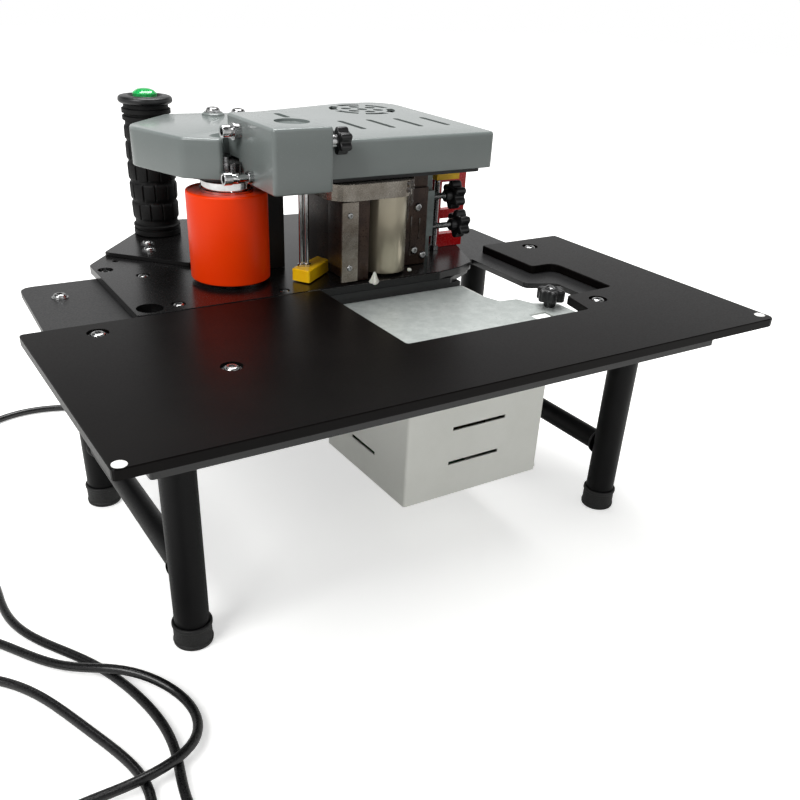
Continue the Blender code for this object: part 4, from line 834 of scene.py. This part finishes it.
def grip_mesh():
    """Rings from the foot up; along the grip, cells between the grooves stand out."""
    around, rings = 144, []
    columns = 12
    rows = [(0.014, 0.0285), (0.0305, 0.045), (0.047, 0.0615), (0.0635, 0.078), (0.080, 0.0915)]
    heights = [0.0, 0.0006, 0.0028, 0.0046, 0.0050, 0.0056, 0.0062, 0.0072, 0.0086, 0.0096,
               0.0102, 0.0116, 0.0126]
    for low, high in rows:
        heights += [low, low + 0.0008, low + 0.0022, (low + high) / 2, high - 0.0022,
                    high - 0.0008, high]
    heights += [0.0936, 0.0950, 0.0956, 0.0972, 0.0986, 0.0994, 0.1004, 0.1012, 0.1028, 0.1044,
                0.1052, 0.1060, 0.1080]
    for z in heights:
        ring = []
        bulge = 0.0006 * math.sin(math.pi * min(1.0, max(0.0, (z - 0.012) / 0.082)))
        for i in range(around):
            t = math.tau * i / around
            radius = 0.0186 + bulge
            for low, high in ((0.0, 0.0048), (0.0062, 0.0096), (0.0950, 0.0990), (0.1008, 0.1050)):
                if low < z < high:
                    radius = 0.0204
            for row, (low, high) in enumerate(rows):
                if low < z < high:
                    away = min(z - low, high - z)
                    phase = (t * columns / math.tau + 0.5 * (row % 2)) % 1.0
                    side = min(phase, 1 - phase) * 0.0105
                    rise = min(1.0, away / 0.0012, side / 0.0008)
                    radius = 0.0186 + bulge + 0.0013 * eased(max(0.0, rise))
            ring.append((radius * math.cos(t), radius * math.sin(t), z))
        rings.append(ring)
    return skin(rings)


piece_of("rubber_grip", moved(grip_mesh(), 0, 0, GRIP_LOW), grip_rubber, "frame", "grip_rubber",
         "handle_grip", place=HANDLE, smooth=50)
bezel = lathe(rounded([(0.0109, 0.0, 0), (0.0195, 0.0, 0.0008), (0.0226, 0.0012, 0.0022),
                       (0.0224, 0.0058, 0.0026), (0.0150, 0.0066, 0.0022),
                       (0.0109, 0.0040, 0.0008)], 6), 72)
piece_of("bezel_ring", bezel, knob_black, "frame", "black_plastic", "button_bezel",
         place=(HANDLE[0], HANDLE[1], GRIP_TOP + 0.0002))
# start button: clear green polystyrene, faceted like a lamp lens over its reflector
green_lens = finish_of("green_lens_styrene", "#0B8A3A", 0.08, patches=("#2FD070", 1.6, 0.8),
                       grain=(1.0, 0.05), Coat_Weight=0.6, Coat_Roughness=0.04)
SEAT = GRIP_TOP + 0.0003 + 0.004
lens_rings = []
for level, (radius, z) in enumerate(((0.0103, -0.012), (0.0103, 0.0038), (0.0096, 0.0046),
                                     (0.0078, 0.0060), (0.0052, 0.0071), (0.0022, 0.0076))):
    lens_rings.append([(radius * math.cos(math.tau * (i + level % 2 / 2) / 16),
                        radius * math.sin(math.tau * (i + level % 2 / 2) / 16), z)
                       for i in range(16)])
piece_of("green_dome", skin(lens_rings), green_lens, "start_button", "green_button",
         "start_button", place=(HANDLE[0], HANDLE[1], SEAT), smooth=8)


# ------------------------------------------------------------
# Press roller: a chromed steel hub carrying a cast silicone tyre, ground true, saturated orange
# with a soft satin sheen; a polished flange and a bush show between tyre and covers.
PRESS = (-0.0851, 0.2612, TABLE_TOP)
silicone = finish_of("cast_orange_silicone", "#FF4000", 0.36, patches=("#FF3800", 30.0, 0.5),
                     grain=(1.4, 0.03), relief=0.002, Specular_IOR_Level=0.2)
chrome = finish_of("hard_chrome", "#DADADA", 0.09, 1.0, patches=("#A9A9A9", 6.0, 0.4),
                   grain=(1.5, 0.03))
tyre = lathe(rounded([(0.0203, 0.003, 0), (0.0312, 0.003, 0.0012), (0.0312, 0.0695, 0.0014),
                      (0.0292, 0.0697, 0.0006), (0.0285, 0.0690, 0.0004),
                      (0.0203, 0.0690, 0)], 4), 96)
piece_of("silicone_tyre", tyre, silicone, "press_roller", "orange_silicone", "roller_tyre",
         place=PRESS)
hub = lathe([(0.0, 0.0003), (0.005, 0.0003), (0.005, 0.003), (0.020, 0.003), (0.020, 0.0710),
             (0.0192, 0.0716), (0.0192, 0.0768), (0.0186, 0.0774), (0.0080, 0.0775),
             (0.0080, 0.0777), (0.005, 0.0777), (0.005, 0.0935), (0.0, 0.0935)], 72)
piece_of("chromed_hub", hub, chrome, "press_roller", "chromed_steel", "roller_core", place=PRESS)


# ------------------------------------------------------------
# Glue unit: a ground steel glue roller in a steel pot browned by hot glue, with a doctor strip at
# its left, a heated block at its right and a flat lid that glue has run down from.
GLUE = (0.0398, 0.2318, TABLE_TOP)
glued_steel = finish_of("ground_roller_steel", "#B4AC98", 0.24, 0.6,
                        patches=("#9A917B", 70.0, 0.6), grain=(1.5, 0.03), relief=0.001)
browned_steel = finish_of("browned_pot_steel", "#2A1B15", 0.32, 0.45,
                          patches=("#48372C", 14.0, 0.8), grain=(1.2, 0.08), relief=0.012)
lid_steel = finish_of("milled_lid_steel", "#98928A", 0.28, 0.85, patches=("#6F675C", 18.0, 0.7),
                      grain=(1.4, 0.05), relief=0.006)
coat(lid_steel, "pot_lid")


def block(left, front, low, right, back, high):
    return slab([(left, front), (right, front), (right, back), (left, back)], low, high)


POT_HIGH = TABLE_TOP + 0.0645
pot_edge = rounded([(-0.0035, 0.2175, 0.002), (0.006, 0.2135, 0.001), (0.030, 0.2135, 0.001),
                    (0.055, 0.234, 0.001), (0.085, 0.234, 0.002), (0.085, 0.300, 0.003),
                    (-0.0035, 0.300, 0.003)])
pot = subtracted(
    slab(pot_edge, TABLE_TOP + 0.0004, POT_HIGH, 0.0006, 0.0006),
    moved(rod(0.0189, -0.01, 0.1), *GLUE),
    slab([(0.0080, 0.19), (0.09, 0.19), (0.09, 0.2335), (0.0200, 0.2335)], TABLE_TOP - 0.01,
         POT_HIGH + 0.01),
    block(0.0055, 0.262, TABLE_TOP + 0.008, 0.062, 0.291, POT_HIGH + 0.01))
strip_holder = slab(panel(-0.0115, 0.2114, -0.0030, 0.2340, 0.001),
                    TABLE_TOP + 0.0120, POT_HIGH - 0.0005, 0.0006, 0.0006)
heater_head = slab(panel(0.0605, 0.2380, 0.0860, 0.2560, 0.001),
                   POT_HIGH - 0.0004, TABLE_TOP + 0.0765, 0.0008)
piece_of("steel_pot", gathered(pot, strip_holder, heater_head), browned_steel, "frame",
         "glue_stained_steel", "glue_pot")
roller = lathe(rounded([(0.0, 0.0003, 0), (0.005, 0.0003, 0), (0.005, 0.002, 0),
                        (0.0183, 0.002, 0.0008), (0.0183, 0.064, 0.0008), (0.005, 0.064, 0),
                        (0.005, 0.0935, 0), (0.0, 0.0935, 0)], 3), 96)
piece_of("ground_roller", roller, glued_steel, "glue_roller", "glue_stained_steel", "glue_roller",
         place=GLUE)
strip = slab([(-0.0120, 0.2100), (0.0025, 0.2100), (0.0025, 0.2116), (-0.0120, 0.2116)],
             TABLE_TOP + 0.0015, TABLE_TOP + 0.0640, 0.0005, 0.0005)
strip_steel = finish_of("doctor_strip_steel", "#8C857C", 0.30, 0.8, patches=("#695F54", 9.0, 0.8),
                        grain=(1.0, 0.06), relief=0.006)
piece_of("doctor_strip", strip, strip_steel, "frame", "glue_stained_steel")
TO_FRONT = Matrix.Rotation(math.pi / 2, 4, "X")       # Z becomes -Y
strip_screws = [moved(screw_mesh(0.0024, 0.0012, 0.0011), -0.0050, 0.2100, TABLE_TOP + z, TO_FRONT)
                for z in (0.013, 0.054)]
block_screws = [moved(screw_mesh(0.0034, 0.0022, 0.0015), x, 0.234, TABLE_TOP + z, TO_FRONT)
                for x, z in ((0.074, 0.049), (0.072, 0.013), (0.081, 0.008))]
fasteners("pot_screws", *strip_screws, *block_screws)

# drips of set glue: on the lid's right front edge, down the heated block, and one on the table
amber_glue = finish_of("set_hot_glue", "#2A211B", 0.18, patches=("#57493C", 3.0, 0.8),
                       grain=(0.8, 0.08), relief=0.05, Coat_Weight=0.4)
white_glue = finish_of("fresh_hot_glue", "#DEDCD2", 0.30, patches=("#BFBBAE", 2.0, 0.7),
                       grain=(0.7, 0.08), relief=0.08, Subsurface_Weight=0.1)


def drip(x, y, top, length, radius):
    """A run of glue that thins and ends in a bead."""
    return moved(lathe([(0.0, -length), (radius * 0.7, -length + radius * 0.3),
                        (radius, -length + radius), (radius * 0.55, -length + radius * 2.4),
                        (radius * 0.4, -length * 0.4), (radius * 0.8, -radius * 0.5),
                        (radius * 0.5, 0.0), (0.0, radius * 0.2)], 16), x, y, top,
                 Matrix.Diagonal((1.0, 0.55, 1.0, 1.0)))


runs = [drip(x, y, TABLE_TOP + top, length, radius) for x, y, top, length, radius in (
    (0.0475, 0.2099, 0.0762, 0.009, 0.0022), (0.0505, 0.2114, 0.0770, 0.013, 0.0012),
    (0.0535, 0.2136, 0.0772, 0.008, 0.0026), (0.0560, 0.2163, 0.0772, 0.020, 0.0015),
    (0.0578, 0.2192, 0.0772, 0.011, 0.0020), (0.0593, 0.2230, 0.0772, 0.024, 0.0016),
    (0.0575, 0.2338, 0.0560, 0.030, 0.0013), (0.0605, 0.2336, 0.0640, 0.044, 0.0010),
    (0.0640, 0.2337, 0.0590, 0.022, 0.0014), (0.0680, 0.2336, 0.0420, 0.034, 0.0011),
    (0.0765, 0.2337, 0.0400, 0.018, 0.0010), (0.0580, 0.2336, 0.0300, 0.028, 0.0016))]
piece_of("glue_runs", gathered(*runs), amber_glue, "frame", "glue_stained_steel", smooth=60)
blob = lathe([(0.0, 0.0), (0.0036, 0.0), (0.0040, 0.0012), (0.0026, 0.0036), (0.0016, 0.0068),
              (0.0007, 0.0090), (0.0, 0.0094)], 20)
for vert in blob.verts:
    turn = math.atan2(vert.co.y, vert.co.x)
    vert.co.xy *= 1 + 0.22 * math.sin(3 * turn + 1) + 0.1 * math.sin(5 * turn)
bead = moved(lathe([(0.0, -0.0016), (0.0016, -0.0010), (0.0020, 0.0), (0.0015, 0.0012),
                    (0.0, 0.0016)], 16), 0.0560, 0.2150, TABLE_TOP + 0.0030)
piece_of("glue_blob", gathered(moved(blob, 0.0150, 0.2038, TABLE_TOP + 0.0001), bead), white_glue,
         "frame", "glue_stained_steel", smooth=60)


# ------------------------------------------------------------
# Gear train under the covers: hobbed steel gears, lightly oiled, on studs in the bridge plate; the
# motor's pinion carries a small nylon fan under the grille.
oiled_steel = finish_of("oiled_gear_steel", "#8C8C8E", 0.28, 1.0, patches=("#5E5B56", 8.0, 0.6),
                        grain=(1.0, 0.08), relief=0.02)
black_nylon = finish_of("moulded_black_nylon", "#171718", 0.48, patches=("#232324", 5.0, 0.5),
                        grain=(0.9, 0.08), relief=0.03)
coat(oiled_steel, "main_idler_gear", "motor_pinion", "glue_gear", "transfer_gear",
     "roller_idler_gear", "roller_gear")
coat(black_nylon, "cooling_fan")


# ------------------------------------------------------------
# Head structure: a painted steel bridge plate on a square column, a round post and the motor's
# can, all near black against the bright rollers.
bridge_paint = finish_of("bridge_plate_paint", "#1A1A1B", 0.42, 0.2, patches=("#262627", 20.0, 0.5),
                         grain=(1.2, 0.08), relief=0.03)
motor_paint = finish_of("motor_can_steel", "#4A4A4D", 0.38, 0.6, patches=("#38383A", 15.0, 0.6),
                        grain=(1.2, 0.08), relief=0.02)
post_steel = finish_of("post_steel", "#59595B", 0.35, 0.8, patches=("#3E3E40", 8.0, 0.6),
                       grain=(1.0, 0.08), relief=0.02)
coat(bridge_paint, "bridge_plate", "support_column")
coat(motor_paint, "motor")
coat(post_steel, "support_post")


# ------------------------------------------------------------
# Covers: cast aluminium shells in mid-grey enamel, sprayed over a fine cast texture, with soft
# edges. The large one has four vent slots and the fan's grille; the left one a scoop for a screw.
COVER_LOW, COVER_TOP = TABLE_TOP + 0.082, TABLE_TOP + 0.1095
enamel = finish_of("grey_enamel", "#747B79", 0.26, patches=("#6D7472", 50.0, 0.5),
                   grain=(0.9, 0.015), relief=0.0015, Coat_Weight=0.3, Coat_Roughness=0.12)

main_edge = rounded([(-0.031, 0.209, 0.0035), (0.1305, 0.209, 0.006), (0.1355, 0.3895, 0.026),
                     (0.084, 0.3890, 0.020), (-0.031, 0.3525, 0.0035)], 8)
THROUGH = (COVER_TOP - 0.006, COVER_TOP + 0.004)
SLOT_HALF = 0.0026
openings = [slab(panel(x - SLOT_HALF, 0.249, x + SLOT_HALF, 0.292, 0.0025, 4), *THROUGH)
            for x in (0.0295, 0.057, 0.084, 0.111)]
GRILLE = (0.084, 0.347)
GRILLE_HOLE = 0.0048
for i in range(6):
    start = math.tau * i / 6 + 0.12
    end = start + math.tau / 6 - 0.24
    ring = arc_points(GRILLE, 0.030, start, end, 12) + arc_points(GRILLE, 0.023, end, start, 12)
    openings.append(slab(ring, *THROUGH))
    angle = math.tau * (i + 0.5) / 6
    openings.append(moved(rod(GRILLE_HOLE, *THROUGH, 24), GRILLE[0] + 0.0145 * math.cos(angle),
                          GRILLE[1] + 0.0145 * math.sin(angle)))
openings.append(moved(rod(GRILLE_HOLE, *THROUGH, 24), *GRILLE))
openings.append(block(-0.041, 0.2725, COVER_LOW - 0.01, -0.026, 0.347, COVER_TOP - 0.003))
main_shell = slab(main_edge, COVER_LOW, COVER_TOP, 0.0024, 0.0006, 6, (0.002, COVER_TOP - 0.002))
piece_of("main_cover", subtracted(main_shell, *openings), enamel, "frame", "grey_enamel",
         "main_gear_cover", smooth=30)

left_edge = rounded([(-0.0315, 0.2715, 0.0028), (-0.0315, 0.3530, 0.0028), (-0.060, 0.3590, 0.02),
                     (-0.094, 0.3610, 0.012), (-0.1425, 0.314, 0.020), (-0.122, 0.252, 0.012),
                     (-0.097, 0.2355, 0.0032), (-0.0822, 0.2700, 0.0028)], 8)
left_shell = slab(left_edge, TABLE_TOP + 0.0815, COVER_TOP, 0.0020, 0.0006, 5,
                  (0.002, COVER_TOP - 0.008))
scoop = moved(lathe([(0.0, -0.004), (0.0155, -0.004), (0.0150, 0.004), (0.0125, 0.013),
                     (0.0070, 0.022), (0.0, 0.027)], 48),
              -0.0805, 0.2500, TABLE_TOP + 0.1176, TO_LEFT)
gear_room = block(-0.1005, 0.2385, TABLE_TOP + 0.07, -0.060, 0.281, TABLE_TOP + 0.0935)
through = block(-0.045, 0.276, TABLE_TOP + 0.07, -0.020, 0.347, COVER_TOP - 0.0085)
left_shell = subtracted(left_shell, scoop, gear_room, through)
boss = moved(lathe([(0.0, -0.001), (0.0094, -0.001), (0.0090, 0.0012), (0.0080, 0.0020),
                    (0.0, 0.0020)], 48), -0.059, 0.345, COVER_TOP)
piece_of("side_cover", gathered(left_shell, boss), enamel, "frame", "grey_enamel", "left_cover",
         smooth=30)

HOUSING_LEFT, HOUSING_RIGHT = -0.079, -0.0315
HOUSING_LOW, HOUSING_TOP = TABLE_TOP + 0.078, TABLE_TOP + 0.1225
UPPER_SCREW = (0.2455, TABLE_TOP + 0.113)
LOWER_SCREW = (0.2260, TABLE_TOP + 0.0845)
HOUSING_STUD = (0.199, TABLE_TOP + 0.111)
house_edge = panel(HOUSING_LEFT, 0.188, HOUSING_RIGHT, 0.269, 0.0032, 8)
house = slab(house_edge, HOUSING_LOW, HOUSING_TOP, 0.0020, 0.0014, 5, (0.003, HOUSING_TOP - 0.003))
house = subtracted(
    house,
    block(HOUSING_LEFT - 0.01, 0.2480, HOUSING_LOW - 0.01, HOUSING_RIGHT - 0.008, 0.279,
          TABLE_TOP + 0.0935),
    block(HOUSING_LEFT + 0.0031, 0.2365, HOUSING_LOW - 0.01, HOUSING_RIGHT - 0.008, 0.279,
          TABLE_TOP + 0.0935),
    moved(lathe([(0.0, -0.0022), (0.0126, -0.0022), (0.0130, -0.0018), (0.0130, 0.004),
                 (0.0, 0.004)], 48), -0.050, 0.218, HOUSING_TOP),
    slab(panel(-0.0476, 0.234, -0.0424, 0.255, 0.0022, 4),
         HOUSING_TOP - 0.0022, HOUSING_TOP + 0.004),
    moved(rod(0.0042, -0.006, 0.006), HOUSING_RIGHT, *HOUSING_STUD, TO_RIGHT),
    moved(rod(0.0032, -0.006, 0.006), HOUSING_LEFT, *UPPER_SCREW, TO_RIGHT),
    moved(rod(0.0026, -0.006, 0.006), HOUSING_LEFT, *LOWER_SCREW, TO_RIGHT))
piece_of("housing_shell", house, enamel, "frame", "grey_enamel", "cutter_housing", smooth=30)
fasteners("cover_screws", *(
    moved(screw_mesh(0.0058, 0.0034, 0.0023, 0.0072), x, y, COVER_TOP + lift)
    for x, y, lift in ((-0.059, 0.345, 0.0026), (-0.036, 0.347, 0.0006))))


# ------------------------------------------------------------
# Two socket-head screws at the housing's left face set the cutter. Their knurled chromed heads
# stand clear of the face, the lower one's on a collar; star knobs on studs lock the housing and
# the glue unit's adjuster bracket.
def socket_head(shank, reach, head=0.0045, long_collar=False):
    """A cap screw whose socket opens at z = 0 and whose shank runs up the axis."""
    profile = [(0.0, 0.0040), (0.0025, 0.0038), (0.0025, 0.0002), (0.0033, 0.0), (head * 0.94, 0.0),
               (head, 0.0004)]
    for i in range(6):
        z = 0.0010 + 0.0008 * i
        profile += [(head, z), (head * 0.965, z + 0.0004)]
    profile += [(head, 0.0058), (head * 0.96, 0.0062), (head * 0.80, 0.0064)]
    if long_collar:
        profile += [(head * 0.72, 0.0066), (head * 0.72, 0.0096), (head * 0.86, 0.0098),
                    (head * 0.86, 0.0112), (shank, 0.0114)]
    profile += [(shank, 0.0114), (shank, reach), (0.0, reach)]
    return lathe(profile, 48, six=(1, 2))


for name, screw_place, shank, proud, collar in (
        ("upper_hex_screw", UPPER_SCREW, 0.003, 0.0140, False),
        ("lower_hex_screw", LOWER_SCREW, 0.0024, 0.0225, True)):
    head = socket_head(shank, proud + 0.006, long_collar=collar)
    piece_of(name.replace("hex_screw", "cap_screw"), moved(head, turn=TO_RIGHT), chrome, name,
             "bright_steel", name, place=(HOUSING_LEFT - proud, *screw_place))
fasteners(
    "screw_bushes",
    moved(lathe([(0.0034, -0.0046), (0.0050, -0.0046), (0.0054, -0.0042), (0.0054, 0.0002),
                 (0.0034, 0.0002)], 40), HOUSING_LEFT, *UPPER_SCREW, TO_RIGHT),
    moved(lathe([(0.0034, -0.0058), (0.0062, -0.0058), (0.0062, -0.0048), (0.0034, -0.0048)], 40),
          HOUSING_LEFT, *UPPER_SCREW, TO_RIGHT),
    moved(lathe([(0.0028, -0.0040), (0.0040, -0.0040), (0.0044, -0.0036), (0.0044, 0.0002),
                 (0.0028, 0.0002)], 40), HOUSING_LEFT, *LOWER_SCREW, TO_RIGHT))

bracket_grey = finish_of("adjuster_plate_steel", "#7E8886", 0.40, 0.3,
                         patches=("#4A4D4C", 14.0, 0.6), grain=(1.2, 0.08), relief=0.03)
coat(bracket_grey, "adjuster_bracket")
STUD_DEPTH = 0.245
for name, x, height in (("upper_star_knob", 0.1140, 0.0534), ("lower_star_knob", 0.1215, 0.028)):
    place = (x, STUD_DEPTH, TABLE_TOP + height)
    piece_of(name.replace("_knob", "_grip"),
             moved(star_knob(0.012, 0.0034, 0.011, boss=0.005, boss_radius=0.005), turn=TO_RIGHT),
             knob_black, name, "black_plastic", name, place=place)
    stud = gathered(threaded_rod(0.0025, -(x - 0.0875), -0.004),
                    moved(screw_mesh(0.0034, 0.0012, 0.0015), 0, 0, 0.0106))
    piece_of(name.replace("_knob", "_stud"), moved(stud, turn=TO_RIGHT), zinc_bright, name,
             "bright_steel", place=place)
place = (-0.0245, *HOUSING_STUD)
piece_of("housing_star_grip",
         moved(star_knob(0.0095, 0.0026, 0.010, boss=0.0015, boss_radius=0.0045), turn=TO_RIGHT),
         knob_black, "housing_star_knob", "black_plastic", "housing_star_knob", place=place)
stud = gathered(threaded_rod(0.0038, -0.020, -0.0065), rod(0.0046, -0.0066, -0.0012),
                moved(screw_mesh(0.0030, 0.0012, 0.0013), 0, 0, 0.0098))
piece_of("housing_star_stud", moved(stud, turn=TO_RIGHT), zinc_bright, "housing_star_knob",
         "bright_steel", place=place)


# ------------------------------------------------------------
# Edge cutter: a yellow nylon shoe that rides on the table, swung by a bright rod beside its pivot.
PIVOT, ROD = (-0.0336, 0.2386), (-0.0294, 0.2370)
yellow_nylon = finish_of("moulded_yellow_nylon", "#FFCC04", 0.38, patches=("#FABA02", 6.0, 0.6),
                         grain=(0.9, 0.08), relief=0.04)
ground_rod = finish_of("ground_silver_steel", "#C2C2C2", 0.14, 1.0, patches=("#9C9A96", 9.0, 0.5),
                       grain=(1.2, 0.05))
coat(yellow_nylon, "cutter_block")
for name, (x, y), radius, top in (("cutter_rod", ROD, 0.0020, 0.0817),
                                  ("cutter_pivot", PIVOT, 0.0018, 0.0777)):
    shaft = gathered(rod(radius, 0.0058, top), lathe([(0.0, 0.0106), (radius * 1.7, 0.0106),
                                                      (radius * 1.7, 0.0122), (radius, 0.0128),
                                                      (0.0, 0.0128)], 32))
    piece_of(name.replace("cutter", "swing"), shaft, ground_rod, "cutter", "turned_steel", name,
             place=(x, y, TABLE_TOP))


# ------------------------------------------------------------
# Tape guide behind the glue unit: a red enamelled plate with windows, and the yellow nylon rail
# that the edging tape runs along, held by a threaded rod.
red_enamel = finish_of("red_enamel", "#D2161B", 0.26, patches=("#BC1016", 12.0, 0.6),
                       grain=(1.4, 0.06), relief=0.03)
coat(red_enamel, "tape_guide")
coat(yellow_nylon, "tape_rail")
guide_rod = gathered(threaded_rod(0.0026, 0.0003, 0.0610, 0.0010),
                     rod(0.0046, 0.0003, 0.0040, 6))
piece_of("guide_rod", moved(guide_rod, 0.1170, 0.2680, TABLE_TOP), zinc_bright, "frame",
         "bright_steel", smooth=60)


# ------------------------------------------------------------
# The two bounding boxes, of the imported frame and of all that is shown, gathered together.
size = {"cad": cad_box, "visual": [list(corner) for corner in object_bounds()]}
